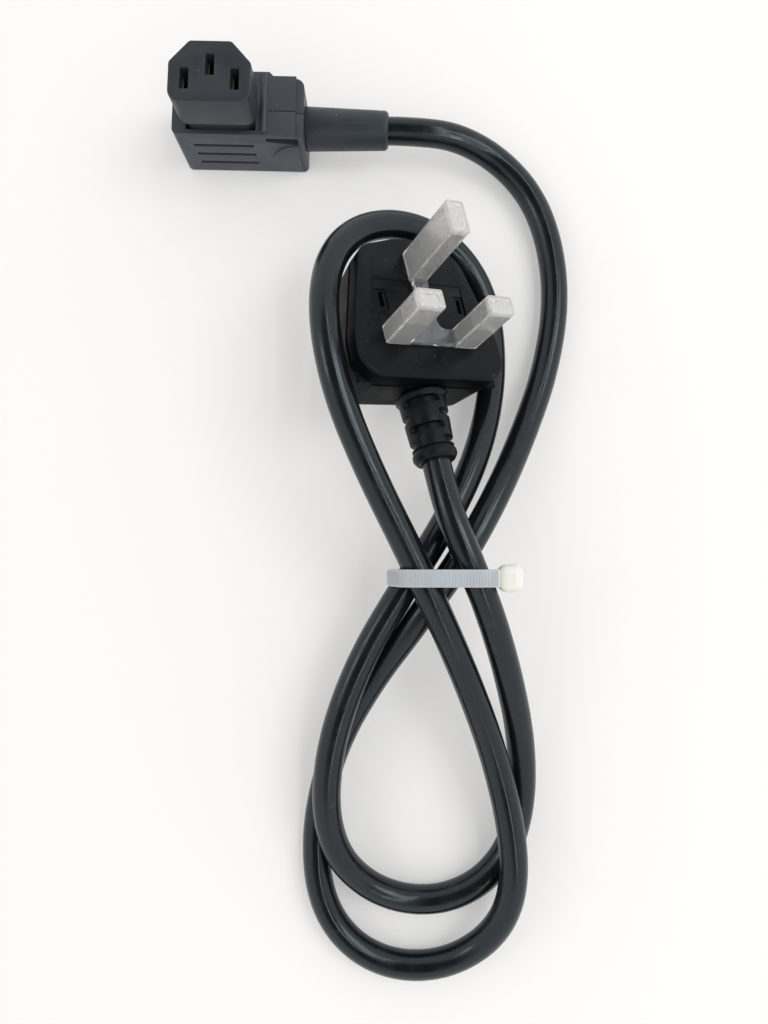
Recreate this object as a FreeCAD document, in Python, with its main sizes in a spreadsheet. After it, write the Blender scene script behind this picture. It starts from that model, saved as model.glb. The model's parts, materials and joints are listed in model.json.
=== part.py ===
import FreeCAD, Part
import math
import os

import Sketcher

# A moulded three pin mains plug lying on its back in a clear pin cover, with its lead tied in a
# figure of eight hank and a right-angled appliance connector on the far end. Millimetres, +Z up.
# The plug's own axes: across the two line pins, up towards the earth pin, and out along the pins.

os.makedirs("parts", exist_ok=True)
doc = FreeCAD.newDocument("three_pin_plug")
sizes = doc.addObject("Spreadsheet::Sheet", "sizes")

SIZES = {
    # where the plug lies, measured to the middle of its pin face
    "plug_x": 3.4, "plug_y": 1.9, "plug_z": 30.41,
    "plug_yaw": 5.8, "plug_pitch": 29.7, "plug_roll": -12.2,
    # outline of the pin face
    "face_half_width": 23.8, "face_bottom": 12.4, "lean_height": 0.5,
    "shoulder_half_width": 16.6, "shoulder_rise": 5.78, "crown_rise": 5.2,
    "corner_radius": 7.5, "lean_radius": 18.0, "shoulder_radius": 7.0, "crown_radius": 22.0,
    # face plate and rear moulding
    "plate_thickness": 5.0, "plate_edge_radius": 0.9,
    "seam_width": 1.1, "seam_depth": 1.0, "body_depth": 22.8, "body_draft": 5.0,
    "rear_edge_radius": 4.0,
    "cavity_half_width": 15.5, "cavity_bottom": 8.0, "cavity_shoulder_drop": 4.22, "cavity_rise": 4.38,
    "cavity_top_half_width": 8.0, "cavity_floor": 17.5,
    # pins
    "line_pin_pitch": 22.22, "earth_pin_height": 22.22,
    "line_pin_wide": 6.35, "line_pin_thick": 3.95, "line_pin_reach": 17.7,
    "earth_pin_wide": 3.95, "earth_pin_tall": 8.0, "earth_pin_reach": 22.7,
    "pin_tip_bevel": 1.1, "pin_flange": 1.0, "pin_flange_thickness": 1.4,
    "sleeve_reach": 9.5, "sleeve_wall": 0.6, "sleeve_root": 1.0,
    "fit": 0.05,
    # fuse and its carrier
    "fuse_length": 25.4, "fuse_radius": 3.15, "fuse_cap_length": 5.7, "fuse_cap_wall": 0.4,
    "fuse_bore": 1.9, "fuse_height": 12.0, "fuse_depth": 5.7,
    "carrier_end_room": 1.9, "carrier_half_height": 5.5, "carrier_floor": 1.6,
    "carrier_recess": 0.25, "cheek_gap": 1.4,
    "finger_slot_length": 4.6, "finger_slot_width": 1.3,
    "finger_recess_length": 6.2, "finger_recess_width": 3.2, "finger_recess_depth": 0.4,
    "finger_drop": 0.8, "carrier_line_length": 4.3, "carrier_line_width": 0.3,
    "clip_wall": 0.5, "clip_width": 4.6, "clip_inset": 2.8, "clip_mouth": 2.2,
    "clip_opening": 2.0, "earth_root_narrow": 1.0, "earth_root_short": 3.0,
    "load_tail_drop": 5.0,
    # wires inside
    "wire_radius": 1.2, "crimp_radius": 1.8, "crimp_length": 3.0, "crimp_floor": 0.8,
    "wire_gap": 0.4, "wire_rise": 0.8, "wire_straight": 2.6, "wire_under": 1.9, "wire_end_gap": 0.1,
    "wire_bow": 2.0, "earth_bow": 4.5,
    # strain relief of the plug
    "cord_radius": 4.1, "boot_depth": 11.0, "boot_end": 32.8, "boot_turn": -38.0,
    "boot_root_radius": 6.9, "boot_tip_radius": 6.0, "boot_core_radius": 4.9,
    "boot_collar_radius": 7.6, "boot_collar_length": 1.5, "boot_spigot_radius": 5.6,
    "boot_ring_radius": 6.3, "boot_ring_length": 3.7, "boot_neck_radius": 5.5,
    "boot_first_slot": 15.9, "boot_slot_step": 3.95, "boot_slot_width": 2.0,
    "boot_slot_span": 100.0, "grip_depth": 1.0,
    # clear pin cover
    "cover_wall": 0.7, "cover_gap": 0.08, "cover_end": 1.0, "cover_web": 1.6, "cover_lift": 0.05,
    "web_bottom": 3.2, "web_shoulder": 2.0, "web_strip_half_width": 2.2, "web_strip_start": 4.6,
    "web_sag": 0.6, "web_flare": 2.0, "web_slope": 0.2,
    # appliance connector
    "connector_x": -57.7, "connector_y": 74.7, "connector_yaw": -1.3,
    "connector_height": 21.5, "connector_left": 14.5, "connector_right": 24.2,
    "connector_front": 9.0, "connector_rear": 10.5, "connector_edge_radius": 1.6,
    "block_left": 13.9, "block_rear": 9.3, "block_drop": 1.2, "block_corner_radius": 2.6,
    "block_step": 1.2, "block_low_start": 8.0,
    "parting_y": -1.5, "parting_width": 0.3, "parting_depth": 0.3,
    "pad_radius": 8.8, "pad_height": 7.4, "pad_rise": 0.5,
    "nose_top": 37.5, "nose_half_width": 11.45, "nose_front": 8.8, "nose_rear": 8.6,
    "nose_bevel_x": 5.6, "nose_bevel_y": 6.2, "nose_corner_radius": 3.2, "nose_root": 17.5,
    "nose_neck_inset": 1.2, "nose_neck_top": 26.0, "nose_edge_radius": 0.35,
    "slot_pitch": 14.0, "slot_wide": 2.5, "slot_tall": 6.1, "line_slot_y": -2.3, "earth_slot_y": 1.8,
    "socket_floor": 4.0, "socket_left": 11.0, "socket_right": 13.0,
    "socket_front": 6.8, "socket_rear": 5.6,
    "contact_wall": 0.4, "contact_tall": 4.6, "contact_gap": 1.5, "contact_top": 34.0,
    "contact_seat": 0.8, "contact_seat_margin": 0.6,
    "groove_width": 1.2, "groove_depth": 0.8, "groove_low": 5.1, "groove_step": 4.8,
    "groove_left": 9.2, "groove_length": 18.1,
    "rib_radius": 1.0, "rib_gap": 0.15, "rib_inset": 0.7,
    "notch_low": 16.2, "notch_slope": 1.6, "notch_lip": 0.7, "notch_depth": 2.2,
    "lead_height": 11.0, "lead_y": -0.8, "relief_length": 25.3, "relief_root_radius": 6.3,
    "relief_tip_radius": 5.6, "relief_spigot_radius": 5.2, "relief_spigot_length": 5.0,
    "relief_tip_bevel": 0.8,
    "lead_inner_end": 14.4,
    # tie round the waist of the hank, drawn tight over the lead's four strands there
    "tie_y": -64.7, "tie_width": 4.8, "tie_wall": 1.2, "tie_room": 5.1,
    "strand_low_left": -3.3, "strand_low_right": 10.4, "strand_low": 19.3,
    "strand_high_left": -0.2, "strand_high_right": 16.7, "strand_high": 28.6,
    "tie_head_wide": 6.8, "tie_head_tall": 6.8, "tie_head_deep": 7.6, "tie_head_wall": 1.5,
    "tie_tail": 1.6, "tie_pawl": 0.9,
}

for row, (alias, number) in enumerate(SIZES.items(), start=1):
    sizes.set("A%d" % row, alias.replace("_", " "))
    sizes.set("B%d" % row, str(number))
    sizes.setAlias("B%d" % row, alias)
doc.recompute()

pieces = []


def size(text):
    """Value of an expression in the sheet's words, in millimetres or degrees."""
    return float(sizes.evalExpression(bound(text)))


def bound(text):
    """The expression with each of the sheet's words led by the sheet's name."""
    words = []
    word = ""
    for letter in text + " ":
        if letter.isalnum() or letter == "_":
            word += letter
            continue
        words.append("sizes." + word if word in SIZES else word)
        words.append(letter)
        word = ""
    return "".join(words).strip()


def plug_seat():
    """Placement of everything that belongs to the plug."""
    middle = FreeCAD.Vector(size("plug_x"), size("plug_y"), size("plug_z"))
    turn = FreeCAD.Rotation(size("plug_yaw"), size("plug_pitch"), size("plug_roll"))
    return FreeCAD.Placement(middle, turn)


def connector_seat():
    """Placement of everything that belongs to the appliance connector."""
    middle = FreeCAD.Vector(size("connector_x"), size("connector_y"), 0)
    return FreeCAD.Placement(middle, FreeCAD.Rotation(size("connector_yaw"), 0, 0))


def finish(item, seat=None):
    """Put a finished sub-part in its place and on the list of pieces."""
    item.Label = item.Name
    item.Placement = seat if seat else FreeCAD.Placement()
    pieces.append(item)
    return item


def new_body(name):
    return doc.addObject("PartDesign::Body", name)


def plane_of(body, role):
    return [item for item in body.Origin.OriginFeatures if item.Role == role][0]


def outline(body, points, level="0", role="XY_Plane", rise="0"):
    """Closed sketch bound to the sheet, on a plane of the body at a level, raised in the plane."""
    sketch = body.newObject("Sketcher::SketchObject", body.Name + "_outline")
    sketch.AttachmentSupport = [(plane_of(body, role), "")]
    sketch.MapMode = "FlatFace"
    sketch.setExpression("AttachmentOffset.Base.y", bound(rise))
    sketch.setExpression("AttachmentOffset.Base.z", bound(level))
    return draw(sketch, points)


def draw(sketch, points):
    """Closed run of straight lines whose corners are bound to the sheet."""
    spots = [FreeCAD.Vector(size(across), size(up), 0) for across, up in points]
    count = len(spots)
    for index in range(count):
        sketch.addGeometry(Part.LineSegment(spots[index], spots[(index + 1) % count]))
    for index in range(count):
        sketch.addConstraint(Sketcher.Constraint("Coincident", index, 2, (index + 1) % count, 1))
    for index, (across, up) in enumerate(points):
        spot = spots[index]
        for kind, value, text in (("DistanceX", spot.x, across), ("DistanceY", spot.y, up)):
            number = sketch.addConstraint(Sketcher.Constraint(kind, -1, 1, index, 1, value))
            sketch.setExpression("Constraints[%d]" % number, bound(text))
    return sketch


def rectangle(middle_x, middle_y, wide, tall):
    """Corners of a rectangle as expressions."""
    left = "(%s) - (%s) / 2" % (middle_x, wide)
    right = "(%s) + (%s) / 2" % (middle_x, wide)
    low = "(%s) - (%s) / 2" % (middle_y, tall)
    high = "(%s) + (%s) / 2" % (middle_y, tall)
    return [(left, low), (right, low), (right, high), (left, high)]


def pad(body, points, low, high, draft=None, role="XY_Plane"):
    """Add material between two levels of the body's own plane."""
    feature = body.newObject("PartDesign::Pad", body.Name + "_pad")
    feature.Profile = outline(body, points, low, role)
    feature.setExpression("Length", bound("(%s) - (%s)" % (high, low)))
    if draft:
        feature.setExpression("TaperAngle", bound(draft))
    doc.recompute()
    return feature


def pocket(body, points, low, high, role="XY_Plane"):
    """Take material away between two levels, and make sure that some went."""
    before = body.Shape.Volume
    feature = body.newObject("PartDesign::Pocket", body.Name + "_pocket")
    feature.Profile = outline(body, points, low, role)
    feature.Reversed = True
    feature.setExpression("Length", bound("(%s) - (%s)" % (high, low)))
    doc.recompute()
    if body.Shape.Volume > before - 1e-3:
        raise ValueError("a pocket in %s cuts nothing" % body.Name)
    return feature


def edges_where(shape, test):
    """Names of the edges whose middle, and direction between their ends, pass the test."""
    names = []
    for index, edge in enumerate(shape.Edges, start=1):
        if len(edge.Vertexes) < 2:
            continue
        middle = edge.valueAt((edge.FirstParameter + edge.LastParameter) / 2)
        along = edge.Vertexes[-1].Point.sub(edge.Vertexes[0].Point)
        if test(middle, along):
            names.append("Edge%d" % index)
    return names


def soften(body, test, radius, bevel=False):
    """Fillet, or chamfer, the edges of the body that pass the test."""
    kind = "PartDesign::Chamfer" if bevel else "PartDesign::Fillet"
    feature = body.newObject(kind, body.Name + ("_bevel" if bevel else "_round"))
    previous = feature.BaseFeature if feature.BaseFeature else body.Tip
    names = edges_where(previous.Shape, test)
    if not names:
        raise ValueError("no edge of %s to soften" % body.Name)
    feature.Base = (previous, names)
    feature.setExpression("Size" if bevel else "Radius", bound(radius))
    doc.recompute()
    return feature


def upright(along):
    """Whether an edge runs mostly along the pins' direction."""
    return abs(along.z) > 0.9 * along.Length and along.Length > 0.5


def revolve(body, points, level, axis="V_Axis", rise="0"):
    """Turn a half section about one of its sketch's own axes."""
    feature = body.newObject("PartDesign::Revolution", body.Name + "_turned")
    sketch = outline(body, points, level, rise=rise)
    feature.Profile = sketch
    feature.ReferenceAxis = (sketch, [axis])
    feature.Angle = 360.0
    doc.recompute()
    return feature


def rod(name, radius, length, at, turn):
    """Round bar bound to the sheet, from a point along a turned axis."""
    item = doc.addObject("Part::Cylinder", name)
    item.setExpression("Radius", bound(radius))
    item.setExpression("Height", bound(length))
    item.Placement.Rotation = turn
    for letter, text in zip("xyz", at):
        item.setExpression("Placement.Base." + letter, bound(text))
    return item


def block(name, low, high):
    """Box bound to the sheet, between two corners."""
    item = doc.addObject("Part::Box", name)
    for side, letter, first, last in zip(("Length", "Width", "Height"), "xyz", low, high):
        item.setExpression(side, bound("(%s) - (%s)" % (last, first)))
        item.setExpression("Placement.Base." + letter, bound(first))
    return item


def cut(name, base, tool):
    item = doc.addObject("Part::Cut", name)
    item.Base = base
    item.Tool = tool
    return item


def join(name, shapes):
    item = doc.addObject("Part::MultiFuse", name)
    item.Shapes = shapes
    item.Refine = True
    return item


ALONG_X = FreeCAD.Rotation(FreeCAD.Vector(0, 1, 0), 90)
DOWN_Y = FreeCAD.Rotation(FreeCAD.Vector(1, 0, 0), 90)
DOWN_Z = FreeCAD.Rotation(FreeCAD.Vector(1, 0, 0), 180)


def bent_path(points):
    """Straight runs joined by tangent arcs, each as large as its two runs allow."""
    edges = []
    radii = []
    last = points[0]
    for before, corner, after in zip(points, points[1:], points[2:]):
        back = before.sub(corner)
        ahead = after.sub(corner)
        turn = math.pi - back.getAngle(ahead)
        reach = 0.45 * min(back.Length, ahead.Length)
        radius = reach / math.tan(turn / 2)
        start = corner.add(FreeCAD.Vector(back).normalize().multiply(reach))
        end = corner.add(FreeCAD.Vector(ahead).normalize().multiply(reach))
        inward = FreeCAD.Vector(back).normalize().add(FreeCAD.Vector(ahead).normalize()).normalize()
        to_middle = radius / math.cos(turn / 2) - radius
        middle = corner.add(inward.multiply(to_middle))
        edges.append(Part.LineSegment(last, start).toShape())
        edges.append(Part.Arc(start, middle, end).toShape())
        radii.append(radius)
        last = end
    edges.append(Part.LineSegment(last, points[-1]).toShape())
    return Part.Wire(edges), radii


def tube(name, points, radius, seat=None):
    """Round tube along a bent path. Prints its tightest bend and checks its volume."""
    path, radii = bent_path(points)
    start = points[1].sub(points[0])
    ring = Part.Wire([Part.Circle(points[0], start, radius).toShape()])
    shape = path.makePipeShell([ring], True, False)
    expected = math.pi * radius * radius * path.Length
    share = shape.Volume / expected
    print("%s: %.1f mm long, tightest bend %.1f mm, volume %.4f of section times length"
          % (name, path.Length, min(radii), share))
    if abs(share - 1) > 0.01:
        raise ValueError("the tube of %s has the wrong volume" % name)
    item = doc.addObject("Part::Feature", name)
    item.Shape = shape
    return finish(item, seat)


# how deep the pins' roots go: to the back of the fuse, where the clips' strips lie
PIN_ROOT = "(fuse_depth + fuse_radius + fit)"

# the pin face's shoulders and top, above the earth pin's middle
SHOULDER = "(earth_pin_height + shoulder_rise)"
CROWN = "(" + SHOULDER + " + crown_rise)"

# half the length of the fuse's tray, the middle of each clip, and half the length of the tray's
# cheeks between the clips: all follow the fuse's length
TRAY = "(fuse_length / 2 + carrier_end_room)"
CLIP = "(fuse_length / 2 - clip_inset)"
CHEEK = "(" + CLIP + " - clip_width / 2 - cheek_gap)"

# outline of the pin face, from its bottom right corner round to its bottom left one
FACE = [
    ("face_half_width", "-face_bottom"), ("face_half_width", "lean_height"),
    ("shoulder_half_width", SHOULDER), ("0", CROWN),
    ("-shoulder_half_width", SHOULDER), ("-face_half_width", "lean_height"),
    ("-face_half_width", "-face_bottom"),
]


def round_face_corners(body):
    """Round the upright edges of the plug's outline, each with its own radius."""
    shoulder = size(SHOULDER)
    rise = size("crown_rise")
    lean = size("lean_height")
    bottom = size("face_bottom")
    corners = (
        (lambda spot: spot.y < -0.6 * bottom, "corner_radius"),
        (lambda spot: abs(spot.y - lean) < 0.2 * bottom, "lean_radius"),
        (lambda spot: abs(spot.y - shoulder) < 0.55 * rise, "shoulder_radius"),
        (lambda spot: spot.y > shoulder + 0.55 * rise, "crown_radius"),
    )
    for near, radius in corners:
        soften(body, lambda middle, along: upright(along) and near(middle), radius)


def pin_holes(body, low, high, margin="fit"):
    """Openings for the three pins through a piece of the plug."""
    wide = "line_pin_wide + 2 * " + margin
    thick = "line_pin_thick + 2 * " + margin
    for side in ("-", ""):
        pocket(body, rectangle(side + "line_pin_pitch / 2", "0", wide, thick), low, high)
    earth = rectangle("0", "earth_pin_height", "earth_pin_wide + 2 * " + margin,
                      "earth_pin_tall + 2 * " + margin)
    pocket(body, earth, low, high)


def make_pin_plate():
    body = new_body("pin_plate")
    pad(body, FACE, "-plate_thickness", "0")
    round_face_corners(body)
    soften(body, lambda middle, along: abs(middle.z) < 1e-4, "plate_edge_radius")
    pin_holes(body, "-plate_thickness - 1", "1")
    window = rectangle("0", "fuse_height", "2 * (" + TRAY + " + fit)",
                       "2 * (carrier_half_height + fit)")
    pocket(body, window, "-plate_thickness - 1", "1")
    return finish(body, plug_seat())


def make_housing():
    """Rear moulding: a drafted shell behind the seam, with a chamber for the terminals."""
    body = new_body("housing_block")
    seam_back = "-plate_thickness - seam_width"
    # the drafted block narrows from the seam to the back
    feature = body.newObject("PartDesign::Pad", "housing_block_pad")
    feature.Profile = outline(body, FACE, seam_back)
    feature.Reversed = True
    feature.setExpression("Length", bound("body_depth - plate_thickness - seam_width"))
    feature.setExpression("TaperAngle", bound("-body_draft"))
    doc.recompute()
    round_face_corners(body)
    back = -size("body_depth")
    soften(body, lambda middle, along: abs(middle.z - back) < 1e-3, "rear_edge_radius")
    neck = [("(%s) * (1 - seam_depth / face_half_width)" % across,
             "(%s) * (1 - seam_depth / face_half_width)" % up) for across, up in FACE]
    pad(body, neck, seam_back, "-plate_thickness")
    shoulder = "earth_pin_height - cavity_shoulder_drop"
    top = "earth_pin_height + cavity_rise"
    chamber = [
        ("cavity_half_width", "-cavity_bottom"), ("cavity_half_width", shoulder),
        ("cavity_top_half_width", top), ("-cavity_top_half_width", top),
        ("-cavity_half_width", shoulder), ("-cavity_half_width", "-cavity_bottom"),
    ]
    pocket(body, chamber, "-cavity_floor", "-plate_thickness + 1")
    socket = rod("boot_socket", "boot_spigot_radius + fit", "face_bottom",
                 ("0", "-cavity_bottom + 1", "-boot_depth"), DOWN_Y)
    return finish(cut("plug_housing", body, socket), plug_seat())


def make_line_pin(name, side):
    """Line pin: a reduced neck for its sleeve, a flange behind the plate and a root."""
    middle = side + "line_pin_pitch / 2"
    body = new_body(name)
    neck_wide = "line_pin_wide - 2 * sleeve_wall"
    neck_thick = "line_pin_thick - 2 * sleeve_wall"
    full = rectangle(middle, "0", "line_pin_wide", "line_pin_thick")
    flange = rectangle(middle, "0", "line_pin_wide + 2 * pin_flange",
                       "line_pin_thick + 2 * pin_flange")
    pad(body, full, "sleeve_reach", "line_pin_reach")
    tip = size("line_pin_reach")
    soften(body, lambda spot, along: abs(spot.z - tip) < 1e-4, "pin_tip_bevel", bevel=True)
    pad(body, rectangle(middle, "0", neck_wide, neck_thick), "-sleeve_root", "sleeve_reach")
    pad(body, full, "-plate_thickness", "-sleeve_root")
    pad(body, flange, "-plate_thickness - pin_flange_thickness", "-plate_thickness")
    pad(body, rectangle(middle, "0", neck_wide, neck_thick), "-" + PIN_ROOT,
        "-plate_thickness - pin_flange_thickness")
    return finish(body, plug_seat())


def make_line_sleeve(name, side):
    """Insulating sleeve, flush with the bare metal beyond it."""
    middle = side + "line_pin_pitch / 2"
    body = new_body(name)
    pad(body, rectangle(middle, "0", "line_pin_wide", "line_pin_thick"),
        "-sleeve_root", "sleeve_reach")
    pocket(body, rectangle(middle, "0", "line_pin_wide - 2 * sleeve_wall",
                           "line_pin_thick - 2 * sleeve_wall"),
           "-sleeve_root - 1", "sleeve_reach + 1")
    return finish(body, plug_seat())


def make_earth_pin():
    body = new_body("earth_pin")
    middle = "earth_pin_height"
    full = rectangle("0", middle, "earth_pin_wide", "earth_pin_tall")
    pad(body, full, "-plate_thickness", "earth_pin_reach")
    tip = size("earth_pin_reach")
    soften(body, lambda spot, along: abs(spot.z - tip) < 1e-4, "pin_tip_bevel", bevel=True)
    pad(body, rectangle("0", middle + " - pin_flange / 2", "earth_pin_wide + 2 * pin_flange",
                        "earth_pin_tall"),
        "-plate_thickness - pin_flange_thickness", "-plate_thickness")
    pad(body, rectangle("0", middle, "earth_pin_wide - earth_root_narrow",
                        "earth_pin_tall - earth_root_short"),
        "-" + PIN_ROOT, "-plate_thickness - pin_flange_thickness")
    return finish(body, plug_seat())


def make_fuse():
    """Cartridge fuse: a ceramic tube with a metal cap on each end, and its wire inside."""
    inner = "fuse_radius - fuse_cap_wall"
    tube_start = ("-fuse_length / 2 + fuse_cap_wall", "fuse_height", "-fuse_depth")
    tube_length = "fuse_length - 2 * fuse_cap_wall"
    outer = rod("fuse_tube_outer", inner, tube_length, tube_start, ALONG_X)
    bore = rod("fuse_tube_bore", "fuse_bore", tube_length, tube_start, ALONG_X)
    finish(cut("fuse_tube", outer, bore), plug_seat())
    for name, start, hollow in (
            ("fuse_cap_line", "-fuse_length / 2", "-fuse_length / 2 + fuse_cap_wall"),
            ("fuse_cap_load", "fuse_length / 2 - fuse_cap_length",
             "fuse_length / 2 - fuse_cap_length")):
        shell = rod(name + "_shell", "fuse_radius", "fuse_cap_length",
                    (start, "fuse_height", "-fuse_depth"), ALONG_X)
        room = rod(name + "_room", inner, "fuse_cap_length - fuse_cap_wall",
                   (hollow, "fuse_height", "-fuse_depth"), ALONG_X)
        finish(cut(name, shell, room), plug_seat())


def make_carrier():
    """Slide-in tray that holds the fuse: a flush floor, two cheeks and two finger slots."""
    body = new_body("fuse_carrier")
    floor_back = "-carrier_recess - carrier_floor"
    pad(body, rectangle("0", "fuse_height", "2 * " + TRAY, "2 * carrier_half_height"),
        floor_back, "-carrier_recess")
    cheek = "carrier_half_height - fuse_radius - fit"
    for side in ("-", "+"):
        middle = "fuse_height %s (carrier_half_height + fuse_radius + fit) / 2" % side
        pad(body, rectangle("0", middle, "2 * " + CHEEK, cheek),
            "-fuse_depth - fuse_radius", floor_back)
        recess = "0 %s (%s - finger_recess_width / 2 - fit)" % (side, TRAY)
        slot = "0 %s (%s - finger_recess_width / 2)" % (side, TRAY)
        pocket(body, rectangle(recess, "fuse_height - finger_drop", "finger_recess_width",
                               "finger_recess_length"),
               "-carrier_recess - finger_recess_depth", "1")
        pocket(body, rectangle(slot, "fuse_height - finger_drop", "finger_slot_width",
                               "finger_slot_length"),
               floor_back + " - 1", "1")
    pad(body, rectangle("carrier_line_length - " + TRAY, "fuse_height + finger_drop * 2",
                        "carrier_line_length", "carrier_line_width"),
        "-carrier_recess", "-carrier_recess / 3")
    return finish(body, plug_seat())


def make_clip(name, side, tail):
    """Spring clip round a fuse cap, open towards the carrier, with a flat tail."""
    start = "%s%s - clip_width / 2" % (side, CLIP)
    at = (start, "fuse_height", "-fuse_depth")
    hug = rod(name + "_hug", "fuse_radius + fit + clip_wall", "clip_width", at, ALONG_X)
    room = rod(name + "_room", "fuse_radius + fit", "clip_width", at, ALONG_X)
    mouth = block(name + "_mouth",
                  (start, "fuse_height - fuse_radius - clip_opening", "-fuse_depth + clip_mouth / 2"),
                  (start + " + clip_width", "fuse_height + fuse_radius + clip_opening", "0"))
    base = "-fuse_depth - fuse_radius - fit - clip_wall"
    strip = block(name + "_strip", (start, tail, base),
                  (start + " + clip_width", "fuse_height", base + " + clip_wall"))
    ring = cut(name + "_ring", hug, room)
    jaws = cut(name + "_jaws", ring, mouth)
    trimmed = cut(name + "_tail", strip, rod(name + "_relief", "fuse_radius + fit", "clip_width",
                                             at, ALONG_X))
    return finish(join(name, [jaws, trimmed]), plug_seat())


def make_crimp(name, across, up, top, seat):
    """Barrel crimped on the end of a wire, open below."""
    barrel = rod(name + "_barrel", "crimp_radius", "crimp_length", (across, up, top), DOWN_Z)
    hole = rod(name + "_hole", "wire_radius + fit / 2", "crimp_length",
               (across, up, "(%s) - crimp_floor" % top), DOWN_Z)
    return finish(cut(name, barrel, hole), seat)


def spots(rows):
    """Points whose coordinates are expressions in the sheet's words."""
    return [FreeCAD.Vector(*[size(text) for text in row]) for row in rows]


def make_plug_wires():
    """Three insulated cores from the end of the lead to their crimps."""
    radius = size("wire_radius")
    seat = plug_seat()
    start = "-cavity_bottom - grip_depth"
    clear = "-cavity_bottom + wire_straight"
    load = "fuse_height - load_tail_drop"
    strip = "-fuse_depth - fuse_radius - fit - clip_wall"
    spread = "(wire_radius + wire_gap)"
    high = "-boot_depth + wire_rise"
    under = "-boot_depth - wire_under"
    bow = "-cavity_floor + wire_bow"
    end = "-" + PIN_ROOT + " - crimp_floor - wire_end_gap"
    make_crimp("neutral_crimp", "line_pin_pitch / 2", "0", "-" + PIN_ROOT, seat)
    make_crimp("earth_crimp", "0", "earth_pin_height", "-" + PIN_ROOT, seat)
    make_crimp("live_crimp", CLIP, load + " + crimp_radius", strip, seat)
    tube("neutral_wire", spots([
        (spread, start, high), (spread, clear, high),
        ("line_pin_pitch / 4", "-3", "-boot_depth - wire_straight"),
        ("line_pin_pitch / 2", "0", bow), ("line_pin_pitch / 2", "0", end)]),
        radius, seat)
    tube("live_wire", spots([
        ("-" + spread, start, high), ("-" + spread, clear, high),
        ("1.5", "3", "-boot_depth - 2.8"),
        (CLIP, load + " + crimp_radius", bow + " - wire_gap"),
        (CLIP, load + " + crimp_radius", strip + " - crimp_floor - wire_end_gap")]), radius, seat)
    tube("earth_wire", spots([
        ("0", start, under), ("0", clear + " - 1.0", under),
        ("-earth_bow", "2", bow + " + 0.3"), ("-3", "13", bow),
        ("0", "earth_pin_height", bow + " + 0.2"), ("0", "earth_pin_height", end)]),
        radius, seat)


def boot_seat():
    """Placement of the boot: the plug's, turned about the lead, as it was pressed on."""
    axis = FreeCAD.Vector(0, 0, -size("boot_depth"))
    turn = FreeCAD.Rotation(FreeCAD.Vector(0, 1, 0), size("boot_turn"))
    return plug_seat().multiply(FreeCAD.Placement(FreeCAD.Vector(), turn, axis))


def make_boot():
    """Flexible strain relief: a spigot, a collar, a tapered slotted sleeve and an end ring."""
    body = new_body("cable_boot")
    bore = "cord_radius + fit"
    step = "boot_collar_length / 2"
    collar_end = "-face_bottom - boot_collar_length"
    ring_start = "-boot_end + boot_ring_length"
    ring_bevel = "boot_ring_length / 3"
    revolve(body, [
        (bore, "-cavity_bottom - grip_depth"), ("boot_spigot_radius", "-cavity_bottom - grip_depth"),
        ("boot_spigot_radius", "-face_bottom - " + step), ("boot_collar_radius", "-face_bottom - " + step),
        ("boot_collar_radius", collar_end), ("boot_root_radius", collar_end + " - " + step),
        ("boot_tip_radius", ring_start + " + boot_slot_width / 4"), ("boot_neck_radius", ring_start),
        ("boot_ring_radius", ring_start + " - " + ring_bevel),
        ("boot_ring_radius", "-boot_end + " + ring_bevel), ("boot_neck_radius", "-boot_end"),
        (bore, "-boot_end"),
    ], "-boot_depth")
    # slots in pairs, turned a quarter from one to the next, each pair leaving two bridges
    for index in range(4):
        level = "-boot_first_slot - %d * boot_slot_step" % index
        for side in ("-", ""):
            ring_slot(body, level, side, "XY_Plane" if index % 2 else "YZ_Plane")
    return finish(body, boot_seat())


def ring_slot(body, level, side, role):
    """Slot round a share of the boot, down to its core, centred on one side of its axis."""
    low = "(%s) - boot_slot_width / 2" % level
    high = "(%s) + boot_slot_width / 2" % level
    near = side + "boot_core_radius"
    far = side + "(boot_collar_radius + 1)"
    before = body.Shape.Volume
    feature = body.newObject("PartDesign::Groove", body.Name + "_ring_slot")
    if role == "XY_Plane":
        sketch = outline(body, [(near, low), (far, low), (far, high), (near, high)], "-boot_depth")
        feature.ReferenceAxis = (sketch, ["V_Axis"])
    else:
        sketch = outline(body, [(low, near), (high, near), (high, far), (low, far)], "0", role,
                         "-boot_depth")
        feature.ReferenceAxis = (sketch, ["H_Axis"])
    feature.Profile = sketch
    feature.Midplane = True
    feature.setExpression("Angle", bound("boot_slot_span"))
    doc.recompute()
    if body.Shape.Volume > before - 1:
        raise ValueError("a slot of the boot cuts nothing")
    return feature


def make_cord_end_in_plug():
    """The stretch of the lead that the boot and the housing grip."""
    body = new_body("cord_end_in_plug")
    inner = "-cavity_bottom - grip_depth"
    revolve(body, [("0", inner), ("cord_radius", inner), ("cord_radius", "-boot_end"),
                   ("0", "-boot_end")], "-boot_depth")
    return finish(body, plug_seat())


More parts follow.
